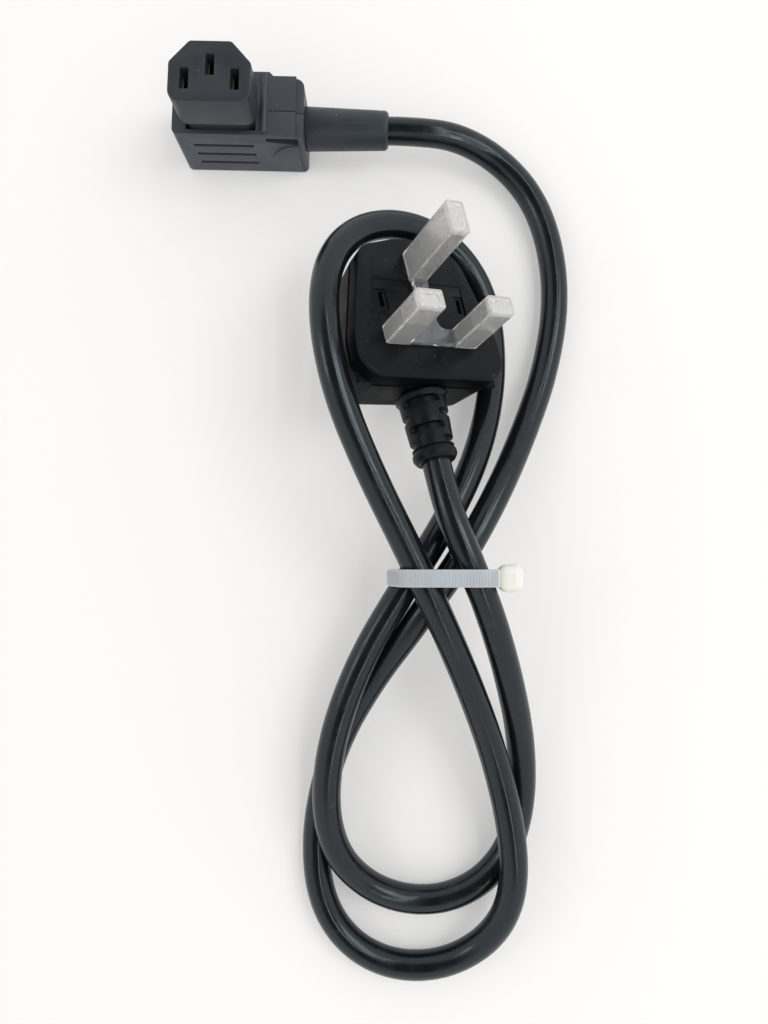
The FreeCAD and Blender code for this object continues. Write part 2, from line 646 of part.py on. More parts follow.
def make_pin_cover():
    """One-piece clear cover: three closed sleeves joined by a thin web on the pin face."""
    body = new_body("pin_cover")
    wall = "2 * (cover_wall + cover_gap)"
    room = "2 * cover_gap"
    web_top = "cover_lift + cover_web"
    web = [
        ("-line_pin_pitch / 2", "-web_bottom + web_sag"), ("-line_pin_pitch / 4", "-web_bottom"),
        ("line_pin_pitch / 4", "-web_bottom"), ("line_pin_pitch / 2", "-web_bottom + web_sag"),
        ("line_pin_pitch / 2", "web_shoulder"),
        ("web_strip_half_width + web_flare", "web_shoulder + web_slope"),
        ("web_strip_half_width + web_slope", "web_strip_start"),
        ("web_strip_half_width", "earth_pin_height"), ("-web_strip_half_width", "earth_pin_height"),
        ("-web_strip_half_width - web_slope", "web_strip_start"),
        ("-web_strip_half_width - web_flare", "web_shoulder + web_slope"),
        ("-line_pin_pitch / 2", "web_shoulder"),
    ]
    pad(body, web, "cover_lift", web_top)
    line_tip = "line_pin_reach + cover_gap + cover_end"
    earth_tip = "earth_pin_reach + cover_gap + cover_end"
    for side in ("-", ""):
        pad(body, rectangle(side + "line_pin_pitch / 2", "0", "line_pin_wide + " + wall,
                            "line_pin_thick + " + wall), "cover_lift", line_tip)
    pad(body, rectangle("0", "earth_pin_height", "earth_pin_wide + " + wall,
                        "earth_pin_tall + " + wall), "cover_lift", earth_tip)
    line_level = size(line_tip)
    earth_level = size(earth_tip)

    def at_tip(middle, along):
        return abs(middle.z - line_level) < 1e-3 or abs(middle.z - earth_level) < 1e-3

    soften(body, at_tip, "cover_wall")
    for side in ("-", ""):
        pocket(body, rectangle(side + "line_pin_pitch / 2", "0", "line_pin_wide + " + room,
                               "line_pin_thick + " + room), "-1", "line_pin_reach + cover_gap")
    pocket(body, rectangle("0", "earth_pin_height", "earth_pin_wide + " + room,
                           "earth_pin_tall + " + room), "-1", "earth_pin_reach + cover_gap")
    return finish(body, plug_seat())


def make_connector_body():
    """Soft outer moulding: a flat-backed block with a socket, grip grooves, a rib and a notch."""
    body = new_body("connector_block")
    plan = [
        ("-connector_left", "-connector_front"), ("connector_right", "-connector_front"),
        ("connector_right", "block_rear"), ("block_left + block_step", "block_rear"),
        ("block_left", "connector_rear"),
        ("-connector_left", "connector_rear"),
    ]
    pad(body, plan, "0", "connector_height")
    top = size("connector_height")
    soften(body, lambda middle, along: upright(along) and middle.x < 0, "connector_edge_radius")
    soften(body, lambda middle, along: upright(along) and middle.x > 0 and middle.y < 0,
           "connector_edge_radius")
    right = size("connector_right")
    soften(body, lambda middle, along: (upright(along) and middle.y > 0
                                        and abs(middle.x - right) < 1e-3), "block_corner_radius")
    # the lead's end of the block is a little lower and rounded over
    low_start = "block_left + block_low_start"
    pocket(body, [(low_start, "-connector_front - 1"), ("connector_right + 1", "-connector_front - 1"),
                  ("connector_right + 1", "block_rear + 2"), (low_start, "block_rear + 2")],
           "connector_height - block_drop", "connector_height + 1")
    for index in range(3):
        low = "groove_low + %d * groove_step" % index
        end = "-groove_left + groove_length"
        pocket(body, [("-groove_left", "-connector_front - 1"), (end, "-connector_front - 1"),
                      (end, "-connector_front + groove_depth"),
                      ("-groove_left", "-connector_front + groove_depth")],
               low, low + " + groove_width")
    # a wedge-shaped notch under the front edge of the lead's end
    lip = "connector_height - block_drop - notch_lip"
    notch_left = "block_left - connector_edge_radius / 2"
    notch_right = "connector_right - connector_edge_radius"
    pocket(body, [(notch_left, "notch_low + notch_slope"), (notch_right, "notch_low"),
                  (notch_right, lip), (notch_left, lip)],
           "connector_front - notch_depth", "connector_front + 1", "XZ_Plane")
    # the line where the mould's halves met, across the lead's end
    pocket(body, rectangle("connector_right", "parting_y", "2 * (connector_right - block_left)",
                           "parting_width"),
           "connector_height - block_drop - parting_depth", "connector_height + 1")
    soften(body, lambda middle, along: abs(middle.z) < 1e-4, "connector_edge_radius / 2")
    pocket(body, [("-socket_left", "-socket_front"), ("socket_right", "-socket_front"),
                  ("socket_right", "socket_rear"), ("-socket_left", "socket_rear")],
           "socket_floor", "nose_root")
    pocket(body, nose_outline("fit - nose_neck_inset"), "nose_root", "connector_height + 1")
    ridge = rod("connector_rib", "rib_radius", "connector_front + connector_rear - 2 * rib_inset",
                ("nose_half_width + rib_gap + rib_radius", "connector_rear - rib_inset",
                 "connector_height"), DOWN_Y)
    tunnel = rod("connector_tunnel", "relief_spigot_radius + fit", "connector_right",
                 ("connector_right - relief_spigot_length", "lead_y", "lead_height"), ALONG_X)
    core_room = rod("connector_core_room", "cord_radius + fit", "connector_right - socket_right + 1",
                    ("socket_right - 1", "lead_y", "lead_height"), ALONG_X)
    disc = rod("connector_disc", "pad_radius", "pad_rise + 1",
               ("connector_right - connector_edge_radius", "-connector_front + 1", "pad_height"),
               DOWN_Y)
    beyond = block("connector_beyond", ("connector_right - connector_edge_radius",
                                        "-connector_front - 2", "-pad_radius"),
                   ("connector_right + pad_radius + 1", "-connector_front + 2", "2 * pad_height + 4"))
    below = block("connector_below", ("block_left - pad_radius", "-connector_front - 2", "-pad_radius"),
                  ("connector_right + pad_radius + 1", "-connector_front + 2", "connector_edge_radius"))
    pad_disc = cut("connector_pad", cut("connector_half_disc", disc, beyond), below)
    ribbed = join("connector_ribbed", [body, ridge, pad_disc])
    opened = cut("connector_opened", ribbed, tunnel)
    return finish(cut("connector_body", opened, core_room), connector_seat())


def nose_outline(margin):
    """The keyed six-sided outline of the nose, let out by a margin."""
    return [
        ("-nose_half_width - (%s)" % margin, "-nose_front - (%s)" % margin),
        ("nose_half_width + (%s)" % margin, "-nose_front - (%s)" % margin),
        ("nose_half_width + (%s)" % margin, "nose_rear - nose_bevel_y"),
        ("nose_half_width - nose_bevel_x", "nose_rear + (%s)" % margin),
        ("-nose_half_width + nose_bevel_x", "nose_rear + (%s)" % margin),
        ("-nose_half_width - (%s)" % margin, "nose_rear - nose_bevel_y"),
    ]


CONTACTS = {
    "live": ("-slot_pitch / 2", "line_slot_y"),
    "earth": ("0", "earth_slot_y"),
    "neutral": ("slot_pitch / 2", "line_slot_y"),
}


def make_connector_nose():
    """Hard inner moulding with the three contact slots, on a narrower neck."""
    body = new_body("connector_nose")
    pad(body, nose_outline("-nose_neck_inset"), "nose_root", "nose_neck_top")
    pad(body, nose_outline("0"), "nose_neck_top", "nose_top")
    soften(body, lambda middle, along: upright(along) and middle.y < -size("nose_front") / 2,
           "nose_corner_radius")
    soften(body, lambda middle, along: upright(along) and middle.y > 0, "nose_corner_radius / 2")
    top = size("nose_top")
    soften(body, lambda middle, along: abs(middle.z - top) < 1e-4, "nose_edge_radius")
    for across, up in CONTACTS.values():
        pocket(body, rectangle(across, up, "slot_wide", "slot_tall"), "nose_root - 1", "nose_top + 1")
    return finish(body, connector_seat())


def make_contact(name, across, up):
    """Spring contact: two leaves rising in the slot from a seat under the nose."""
    seat_top = "nose_root"
    seat_wide = "(slot_wide + 2 * contact_seat_margin)"
    seat_tall = "(slot_tall + 2 * contact_seat_margin)"
    body = new_body(name)
    pad(body, rectangle(across, up, seat_wide, seat_tall), seat_top + " - contact_seat", seat_top)
    for side in ("-", "+"):
        middle = "%s %s (contact_gap + contact_wall) / 2" % (across, side)
        pad(body, rectangle(middle, up, "contact_wall", "contact_tall"), seat_top, "contact_top")
    return finish(body, connector_seat())


def make_connector_inside():
    """Contacts, crimps and cores inside the connector."""
    seat = connector_seat()
    radius = size("wire_radius")
    under = "nose_root - contact_seat"
    for name, (across, up) in CONTACTS.items():
        make_contact(name + "_contact", across, up)
        make_crimp(name + "_contact_crimp", across, up, under, seat)
    end = under + " - crimp_floor - wire_end_gap"
    low = "socket_floor + wire_radius + wire_gap"
    high = "lead_height + wire_rise"
    start = "lead_inner_end"
    spread = "(wire_radius + wire_gap)"
    tube("connector_neutral_wire", spots([
        (start, "lead_y - " + spread, high),
        (start + " - 2.2", "lead_y - " + spread, high),
        (start + " - 5.0", "line_slot_y", "lead_height - 1.2"),
        ("slot_pitch / 2", "line_slot_y", "lead_height - 0.4"),
        ("slot_pitch / 2", "line_slot_y", end)]), radius, seat)
    tube("connector_earth_wire", spots([
        (start, "lead_y + " + spread, high),
        (start + " - 2.2", "lead_y + " + spread, high),
        (start + " - 5.2", "lead_y + " + spread + " + 0.6", "lead_height - 1.4"),
        ("4.5", "earth_slot_y", low + " + 2.2"), ("0", "earth_slot_y", low + " + 2.0"),
        ("0", "earth_slot_y", end)]), radius, seat)
    tube("connector_live_wire", spots([
        (start, "lead_y", "lead_height - 2.0"), (start + " - 2", "lead_y", "lead_height - 2.0"),
        (start + " - 4", "lead_y - 0.8", low + " + 1.0"),
        ("3", "line_slot_y - 1.6", low), ("-4", "line_slot_y - 1.0", low + " + 0.4"),
        ("-slot_pitch / 2", "line_slot_y", low + " + 2.4"),
        ("-slot_pitch / 2", "line_slot_y", end)]), radius, seat)


def make_connector_relief():
    """Smooth tapered strain relief between the connector and the free lead."""
    sleeve = new_body("connector_relief")
    root = "connector_right"
    tip = "connector_right + relief_length"
    spigot = "connector_right - relief_spigot_length"
    revolve(sleeve, [
        (spigot, "cord_radius + fit"), (spigot, "relief_spigot_radius"), (root, "relief_spigot_radius"),
        (root, "relief_root_radius"), (tip + " - relief_tip_bevel", "relief_tip_radius"),
        (tip, "relief_tip_radius - relief_tip_bevel"), (tip, "cord_radius + fit"),
    ], "lead_height", "H_Axis", "lead_y")
    finish(sleeve, connector_seat())
    lead = new_body("cord_end_in_connector")
    revolve(lead, [("lead_inner_end", "0"), (tip, "0"), (tip, "cord_radius"),
                   ("lead_inner_end", "cord_radius")], "lead_height", "H_Axis", "lead_y")
    return finish(lead, connector_seat())


def free_end(seat, spot):
    """A point of a placed sub-part in the whole object's frame."""
    return seat.multVec(FreeCAD.Vector(*[size(text) for text in spot]))


# Route of the free lead between its two strain reliefs, from plug to connector: up and over to the
# tie, round the inner lower loop, back through the tie, round behind the plug and over its flank,
# through the tie again, round the outer lower loop, through the tie a last time and away.
ROUTE = [
    (7.57, -44.71, 29.42), (12.8, -57.9, 30.2), (19.9, -74.5, 26.0), (26.2, -93.4, 17.8),
    (30.8, -112.4, 9.6), (31.7, -130.6, 5.1), (28.1, -144.8, 4.1), (20.1, -154.6, 4.1),
    (8.7, -160.0, 4.1), (-3.9, -160.0, 4.5), (-15.3, -154.7, 6.5), (-23.6, -144.7, 10.0),
    (-26.8, -129.5, 13.8), (-24.3, -109.4, 16.2), (-16.2, -87.9, 17.6), (-4.6, -68.5, 19.4),
    (7.6, -50.0, 19.5), (17.5, -30.5, 14.4), (23.2, -10.0, 8.2), (24.1, 8.7, 5.4),
    (21.1, 22.9, 6.3), (14.4, 32.8, 9.8), (4.5, 38.6, 14.8), (-7.0, 39.2, 20.8),
    (-17.7, 34.0, 27.6), (-24.8, 22.8, 34.5), (-26.2, 5.7, 39.6), (-22.1, -15.5, 39.1),
    (-13.4, -36.2, 34.4), (-3.4, -55.9, 29.7), (6.0, -75.9, 26.9), (14.6, -95.3, 20.2),
    (22.1, -115.5, 14.8), (26.9, -135.7, 13.8), (28.0, -151.7, 12.6), (24.8, -164.1, 9.7),
    (16.9, -173.5, 6.4), (5.6, -178.8, 4.5), (-7.1, -178.8, 4.1), (-18.4, -173.6, 4.2),
    (-26.4, -164.0, 4.4), (-30.0, -150.6, 4.4), (-29.4, -133.4, 4.1), (-23.8, -113.9, 4.1),
    (-13.2, -95.1, 8.8), (-0.8, -78.1, 16.2), (12.2, -59.9, 20.6), (23.2, -41.1, 16.4),
    (32.3, -22.4, 9.1), (40.2, -2.1, 5.0), (44.3, 19.7, 4.1), (43.0, 38.6, 4.1), (37.6, 54.6, 4.1),
    (27.5, 66.1, 5.0), (14.6, 71.6, 8.8), (2.77, 72.53, 11.00),
]


def make_cord():
    start = free_end(plug_seat(), ("0", "-boot_end", "-boot_depth"))
    end = free_end(connector_seat(), ("connector_right + relief_length", "lead_y", "lead_height"))
    middle = [FreeCAD.Vector(*spot) for spot in ROUTE]
    return tube("cord", [start] + middle + [end], size("cord_radius"))


def strap(name, room):
    """Solid of the tie's width inside a line drawn tight round the four strands."""
    sketch = doc.addObject("Sketcher::SketchObject", name + "_line")
    sketch.Placement.Rotation = DOWN_Y
    sketch.setExpression("Placement.Base.y", bound("tie_y + tie_width / 2"))
    draw(sketch, [
        ("strand_low_left", "strand_low"), ("strand_low_right", "strand_low"),
        ("strand_high_right", "strand_high"), ("strand_high_left", "strand_high"),
    ])
    around = doc.addObject("Part::Offset2D", name + "_around")
    around.Source = sketch
    around.setExpression("Value", bound(room))
    around.Join = 0
    solid = doc.addObject("Part::Extrusion", name)
    solid.Base = around
    solid.DirMode = "Normal"
    solid.Solid = True
    solid.setExpression("LengthFwd", bound("tie_width"))
    return solid


def make_tie():
    """Nylon tie round the waist: a tight band, and a head with its pawl slot and cut tail."""
    band = cut("tie_band", strap("tie_outside", "tie_room + tie_wall"),
               strap("tie_inside", "tie_room"))
    near = "strand_high_right + tie_room + tie_wall / 4"
    far = near + " + tie_head_wide"
    low = "strand_high - tie_head_tall / 2"
    high = "strand_high + tie_head_tall / 2"
    front = "tie_y - tie_width / 2"
    back = "tie_y + tie_width / 2"
    outer = near + " + tie_wall * 3 / 4 + tie_head_wall"
    head = block("tie_head", (near, "tie_y - tie_head_deep / 2", low),
                 (far, "tie_y + tie_head_deep / 2", high))
    window = block("tie_window", (outer, front + " - fit", low + " - 1"),
                   (outer + " + tie_wall + tie_pawl", back + " + fit", high + " + 1"))
    tail = block("tie_end", (outer, front, low + " - tie_tail"),
                 (outer + " + tie_wall", back, high + " + tie_tail"))
    pawl = block("tie_pawl_block", (outer + " + tie_wall", "tie_y - tie_width / 4",
                                    "strand_high - tie_head_tall / 4"),
                 (outer + " + tie_wall + tie_pawl", "tie_y + tie_width / 4",
                  "strand_high + tie_head_tall / 4"))
    hollow = cut("tie_head_open", head, window)
    return finish(join("cable_tie", [band, hollow, tail, pawl]))


make_housing()
make_pin_plate()
for pin_name, pin_side in (("live_pin", "-"), ("neutral_pin", "")):
    make_line_pin(pin_name, pin_side)
    make_line_sleeve(pin_name + "_sleeve", pin_side)
make_earth_pin()
make_fuse()
make_carrier()
make_clip("line_clip", "-", "-line_pin_thick / 2")
make_clip("load_clip", "", "fuse_height - load_tail_drop")
make_plug_wires()
make_boot()
make_cord_end_in_plug()
make_pin_cover()
make_connector_body()
make_connector_nose()
make_connector_inside()
make_connector_relief()
make_cord()
make_tie()
doc.recompute()

for item in doc.Objects:
    if "Invalid" in item.State or "Error" in item.State:
        raise ValueError("%s did not compute" % item.Name)

for piece in pieces:
    shape = piece.Shape
    if shape.isNull() or not shape.isValid():
        raise ValueError("%s has no valid shape" % piece.Name)
    shape.exportStep("parts/%s.step" % piece.Label)
    print("%s: %d solid, %.1f cubic mm" % (piece.Label, len(shape.Solids), shape.Volume))
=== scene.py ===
"""Dresses a three pin plug, its tied lead and its appliance connector on a pale table."""

import json
import logging
import math
from collections.abc import Callable, Iterable
from dataclasses import dataclass
from enum import Enum

import bmesh
import bpy
from mathutils import Matrix, Vector


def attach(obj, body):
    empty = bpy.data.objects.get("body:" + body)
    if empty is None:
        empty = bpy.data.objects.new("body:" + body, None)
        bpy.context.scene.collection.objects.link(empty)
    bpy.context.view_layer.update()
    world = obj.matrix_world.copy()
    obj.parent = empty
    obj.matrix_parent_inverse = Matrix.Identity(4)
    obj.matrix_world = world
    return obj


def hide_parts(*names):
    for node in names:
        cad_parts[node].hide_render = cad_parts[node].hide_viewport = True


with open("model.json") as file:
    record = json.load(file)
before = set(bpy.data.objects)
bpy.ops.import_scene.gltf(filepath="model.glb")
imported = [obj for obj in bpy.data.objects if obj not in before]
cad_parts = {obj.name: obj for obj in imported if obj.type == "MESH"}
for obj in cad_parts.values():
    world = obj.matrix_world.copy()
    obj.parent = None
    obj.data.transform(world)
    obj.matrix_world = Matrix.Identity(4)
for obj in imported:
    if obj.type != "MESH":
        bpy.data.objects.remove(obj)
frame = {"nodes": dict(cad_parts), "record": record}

LOG = logging.getLogger("plug")
MM = 0.001
# points of a CAD mesh this near, in metres, are one, and faces that turn by less, in degrees, too
SAME_POINT = 2e-6
SAME_FACE = 0.5
ROOT_BODY = "plug_and_lead"
COVER_BODY = "cover"
CONTACTS = ("live_contact", "earth_contact", "neutral_contact", "live_contact_crimp",
            "earth_contact_crimp", "neutral_contact_crimp")
# the lead's depth behind the pin face, in millimetres, and the boot's turn about it, in degrees
LEAD_DEPTH = 11.0
BOOT_TURN = -38.0

Item = bpy.types.Object
Finish = bpy.types.Material
Socket = bpy.types.NodeSocket
Colour = tuple[float, float, float]
Point = tuple[float, float, float]
Test = Callable[[Vector, Vector], bool]
Inputs = dict[str | int, object]


class Slot(Enum):
    """Material slots of the record, which the softened mouldings name."""

    HOUSING = "plug_moulding"
    PLATE = "plug_face"
    CONNECTOR = "connector_plastic"
    BOOT = "boot_plastic"
    LEAD = "lead_sheath"
    COVER = "clear_cover"
    TIE = "tie_nylon"


class Kind(Enum):
    """What is picked in edit mode."""

    POINTS = "VERT"
    EDGES = "EDGE"
    FACES = "FACE"


def feed(node: bpy.types.Node, inputs: Inputs) -> None:
    """Wire or set inputs of a shader node.

    Args:
        node: the node.
        inputs: a socket to wire or a value to set, by the input's name or number.
    """
    for name, value in inputs.items():
        if isinstance(value, Socket):
            node.id_data.links.new(value, node.inputs[name])
        else:
            node.inputs[name].default_value = value


def add_node(tree: bpy.types.NodeTree, kind: str, inputs: Inputs,
             **options: str) -> bpy.types.Node:
    """Add a shader node.

    Args:
        tree: the tree that it joins.
        kind: its type, without the words that all types start with.
        inputs: what to wire or set, as feed takes it.
        options: its settings, by name.

    Returns:
        The node.
    """
    node = tree.nodes.new("ShaderNode" + kind)
    for name, choice in options.items():
        setattr(node, name, choice)
    feed(node, inputs)
    return node


def show(item: Item) -> None:
    """Put an object in the scene."""
    bpy.context.scene.collection.objects.link(item)


class NodeBoard:
    """Adds shader nodes to one material and wires them together."""

    def __init__(self, name: str) -> None:
        """Start a material with its shader and its object coordinates.

        Args:
            name: of the material.
        """
        self.material = bpy.data.materials.new(name)
        self.material.use_nodes = True
        self.tree = self.material.node_tree
        self.shader = self.tree.nodes["Principled BSDF"]
        self.place = self.tree.nodes.new("ShaderNodeTexCoord").outputs["Object"]

    def noise(self, scale: float, detail: float, stretch: Point = (1.0, 1.0, 1.0)) -> Socket:
        """Noise on object coordinates.

        Args:
            scale: waves in a metre.
            detail: octaves.
            stretch: scale along each axis before the noise.

        Returns:
            The noise's factor.
        """
        mapping = add_node(self.tree, "Mapping", {"Scale": stretch, "Vector": self.place})
        texture = add_node(self.tree, "TexNoise", {
            "Scale": scale, "Detail": detail, "Vector": mapping.outputs["Vector"]})
        return texture.outputs["Fac"]

    def specks(self, scale: float, share: float) -> Socket:
        """Sparse dots of dust: cells in a metre, and a dot's radius as a share of its cell."""
        cells = add_node(self.tree, "TexVoronoi", {"Scale": scale, "Vector": self.place})
        return self.ramp(cells.outputs["Distance"], share, share * 0.6, 0.0, 1.0)

    def ramp(self, value: Socket, start: float, end: float, low: float, high: float) -> Socket:
        """Map a value from one range to another, clamped.

        Args:
            value: the socket to map.
            start: input that gives low.
            end: input that gives high.
            low: first output.
            high: last output.

        Returns:
            The mapped value.
        """
        return add_node(self.tree, "MapRange", {
            "From Min": start, "From Max": end, "To Min": low, "To Max": high,
            "Value": value}).outputs["Result"]

    def math(self, operation: str, first: Socket, second: Socket | float) -> Socket:
        """Join two values by an operation."""
        return add_node(self.tree, "Math", {0: first, 1: second}, operation=operation).outputs[0]

    def blend(self, factor: Socket, first: Socket | Colour, second: Colour) -> Socket:
        """Mix two colours by a factor.

        Args:
            factor: share of the second colour.
            first: colour at 0, a socket or a constant.
            second: colour at 1.

        Returns:
            The mixed colour.
        """
        start = (*first, 1.0) if isinstance(first, tuple) else first
        return add_node(self.tree, "Mix", {0: factor, 6: start, 7: (*second, 1.0)},
                        data_type="RGBA").outputs[2]

    def bump(self, height: Socket, depth: float, strength: float = 0.6) -> Socket:
        """Normal of a relief with a height from 0 to 1 and a depth in metres."""
        return add_node(self.tree, "Bump", {
            "Distance": depth, "Strength": strength, "Height": height}).outputs["Normal"]

    def shade(self, **inputs: object) -> None:
        """Wire or set the shader's inputs by their names, with underscores for spaces."""
        feed(self.shader, {name.replace("_", " "): value for name, value in inputs.items()})


@dataclass(frozen=True)
class Moulding:
    """Opaque moulded plastic: a clouded colour, a grain, and a little dust on it.

    Attributes:
        name: of the material.
        tone: base colour.
        gloss: middling roughness.
        grain: depth of the grain in metres.
        grain_scale: grains in a metre.
        dust: how strongly dust shows.
        shine: specular level.
        painted_sky_tint: colour of its reflections, a blue painted into them for a sky that the
            room does not have.
        dust_film: colour of the thin film of dust.
        dust_dots: colour of its dots.
    """

    name: str
    tone: Colour
    gloss: float
    grain: float = 0.00002
    grain_scale: float = 2600.0
    dust: float = 0.0
    shine: float = 0.4
    # painted reflection: a blue cast on every reflection, for a sky that the room does not have
    painted_sky_tint: Colour = (0.8, 0.93, 1.0)
    dust_film: Colour = (0.3, 0.3, 0.31)
    dust_dots: Colour = (0.35, 0.35, 0.36)

    def build(self) -> Finish:
        """Make the material.

        Returns:
            The material.
        """
        board = NodeBoard(self.name)
        lighter = tuple(min(1.0, part * 1.35 + 0.001) for part in self.tone)
        shade = board.blend(board.noise(55.0, 4.0), self.tone, lighter)
        if self.dust:
            patches = board.ramp(board.noise(160.0, 2.0), 0.5, 0.62, 0.0, self.dust)
            dots = board.math("MULTIPLY", board.specks(420.0, 0.09), patches)
            film = board.ramp(board.noise(75.0, 5.0), 0.52, 0.8, 0.0, self.dust * 0.06)
            shade = board.blend(dots, board.blend(film, shade, self.dust_film), self.dust_dots)
        worn = board.noise(140.0, 5.0)
        coarse = board.noise(self.grain_scale * 0.23, 2.0)
        grain = board.math("ADD", board.noise(self.grain_scale, 2.0), coarse)
        board.shade(
            Base_Color=shade, Normal=board.bump(grain, self.grain),
            Roughness=board.ramp(worn, 0.3, 0.7, self.gloss - 0.05, self.gloss + 0.07),
            Specular_IOR_Level=self.shine, Specular_Tint=(*self.painted_sky_tint, 1.0))
        return board.material


@dataclass(frozen=True)
class Sheath:
    """Glossy lead sheath: near black, with handling marks and a faint unevenness.

    Attributes:
        name: of the material.
        tone: base colour.
        clouds: colour of its cloudy places.
        scuffed: colour of its handling marks.
        gloss: middling roughness.
        shine: specular level.
        painted_sky_tint: colour of its reflections, a blue painted into them for a sky that the
            room does not have.
    """

    name: str = "lead sheath"
    tone: Colour = (0.0045, 0.0062, 0.008)
    clouds: Colour = (0.008, 0.0095, 0.011)
    scuffed: Colour = (0.026, 0.028, 0.030)
    gloss: float = 0.17
    shine: float = 0.45
    # painted reflection: a blue cast on every reflection, for a sky that the room does not have
    painted_sky_tint: Colour = (0.8, 0.93, 1.0)

    def build(self) -> Finish:
        """Make the material.

        Returns:
            The material.
        """
        board = NodeBoard(self.name)
        scuffs = board.ramp(board.noise(230.0, 6.0), 0.62, 0.74, 0.0, 0.5)
        clouded = board.blend(board.noise(70.0, 4.0), self.tone, self.clouds)
        handled = board.noise(210.0, 6.0)
        relief = board.math("ADD", board.noise(900.0, 3.0), board.noise(160.0, 2.0))
        board.shade(
            Base_Color=board.blend(scuffs, clouded, self.scuffed),
            Roughness=board.ramp(handled, 0.35, 0.7, self.gloss - 0.05, self.gloss + 0.12),
            Normal=board.bump(relief, 0.00004, 0.5),
            Specular_IOR_Level=self.shine, Specular_Tint=(*self.painted_sky_tint, 1.0))
        return board.material


@dataclass(frozen=True)
class ClearPlastic:
    """Clear plastic with a frosted bloom and flow lines from its moulding.

    Attributes:
        name: of the material.
        tone: base colour.
        gloss: least roughness.
        clearness: share of light that passes.
        bloom: colour of its frosted bloom.
        index: its index of refraction.
    """

    name: str = "clear cover"
    tone: Colour = (0.99, 0.99, 0.98)
    gloss: float = 0.05
    clearness: float = 0.79
    bloom: Colour = (0.97, 0.975, 0.965)
    index: float = 1.46

    def build(self) -> Finish:
        """Make the material.

        Returns:
            The material.
        """
        board = NodeBoard(self.name)
        frost = board.noise(260.0, 4.0)
        flow = board.math("ADD", board.noise(110.0, 1.0), board.noise(480.0, 2.0))
        board.shade(
            Base_Color=board.blend(board.noise(90.0, 3.0), self.tone, self.bloom),
            Roughness=board.ramp(frost, 0.3, 0.75, self.gloss, self.gloss + 0.12),
            Normal=board.bump(flow, 0.0001, 0.35),
            Transmission_Weight=self.clearness, IOR=self.index)
        return board.material


@dataclass(frozen=True)
class PlatedMetal:
    """Plated or stamped metal with drawn lines and a dulled film.

    Attributes:
        name: of the material.
        tone: base colour.
        gloss: middling roughness.
        dulled: the film's brightness, as a share of the metal's.
    """

    name: str
    tone: Colour
    gloss: float = 0.3
    dulled: float = 0.7

    def build(self) -> Finish:
        """Make the material.

        Returns:
            The material.
        """
        board = NodeBoard(self.name)
        darker = tuple(part * self.dulled for part in self.tone)
        lines = board.noise(500.0, 3.0, (1.0, 1.0, 0.05))
        board.shade(
            Base_Color=board.blend(board.noise(300.0, 4.0), self.tone, darker),
            Roughness=board.ramp(lines, 0.3, 0.7, self.gloss - 0.08, self.gloss + 0.1),
            Normal=board.bump(lines, 0.00002, 0.5), Metallic=1.0)
        return board.material


@dataclass(frozen=True)
class Nylon:
    """Natural nylon, a little translucent; its default tone, a darker blue-grey, is painted shade
    for the tie's band.

    Attributes:
        name: of the material.
        tone: base colour.
        warmth: colour of its thicker, clouded places.
    """

    name: str = "tie band nylon in painted shade"
    tone: Colour = (0.43, 0.45, 0.50)
    warmth: Colour = (0.51, 0.515, 0.53)

    def build(self) -> Finish:
        """Make the material.

        Returns:
            The material.
        """
        board = NodeBoard(self.name)
        board.shade(
            Base_Color=board.blend(board.noise(120.0, 3.0), self.tone, self.warmth),
            Roughness=board.ramp(board.noise(400.0, 3.0), 0.3, 0.7, 0.3, 0.45),
            Normal=board.bump(board.noise(1800.0, 2.0), 0.00002, 0.5),
            Subsurface_Weight=0.2, Subsurface_Scale=0.0015)
        return board.material


@dataclass(frozen=True)
class Seat:
    """Axes of a sub-assembly in the row's frame.

    Attributes:
        origin: its origin, in metres.
        across: its first axis.
        up: its second axis.
        out: its third axis.
    """

    origin: Vector
    across: Vector
    up: Vector
    out: Vector

    @classmethod
    def of_plug(cls, record: dict) -> "Seat":
        """The plug's axes: across the line pins, towards the earth pin, out along the pins.

        Args:
            record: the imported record, with its mounts.

        Returns:
            The axes.
        """
        mounts = {mount["name"]: mount for mount in record["mounts"]}
        origin = Vector(mounts["line_pins"]["pos_m"])
        up = (Vector(mounts["earth_pin"]["pos_m"]) - origin).normalized()
        out = Vector(mounts["line_pins"]["axis"]).normalized()
        return cls(origin, up.cross(out), up, out)

    @classmethod
    def of_boot(cls, plug: "Seat") -> "Seat":
        """The boot's axes, with its third along the lead as it leaves the plug.

        Args:
            plug: the plug's axes.

        Returns:
            The axes.
        """
        angle = math.radians(BOOT_TURN)
        across = plug.across * math.cos(angle) - plug.out * math.sin(angle)
        front = plug.across * math.sin(angle) + plug.out * math.cos(angle)
        return cls(plug.origin - plug.out * LEAD_DEPTH * MM, across, front, -plug.up)

    def matrix(self) -> Matrix:
        """From the sub-assembly's millimetres to the row's metres."""
        turn = Matrix((self.across, self.up, self.out)).transposed().to_4x4()
        return Matrix.Translation(self.origin) @ turn @ Matrix.Scale(MM, 4)


def clear_selection() -> None:
    """Leave edit mode and deselect everything."""
    if bpy.context.object is not None and bpy.context.object.mode != "OBJECT":
        bpy.ops.object.mode_set(mode="OBJECT")
    bpy.ops.object.select_all(action="DESELECT")


def twin_of(item: Item, matrix: Matrix) -> Item:
    """Copy an object with its mesh, and move the copy's mesh.

    Args:
        item: the object.
        matrix: how the copy's mesh moves.

    Returns:
        The copy.
    """
    twin = item.copy()
    twin.data = item.data.copy()
    twin.data.transform(matrix)
    show(twin)
    return twin


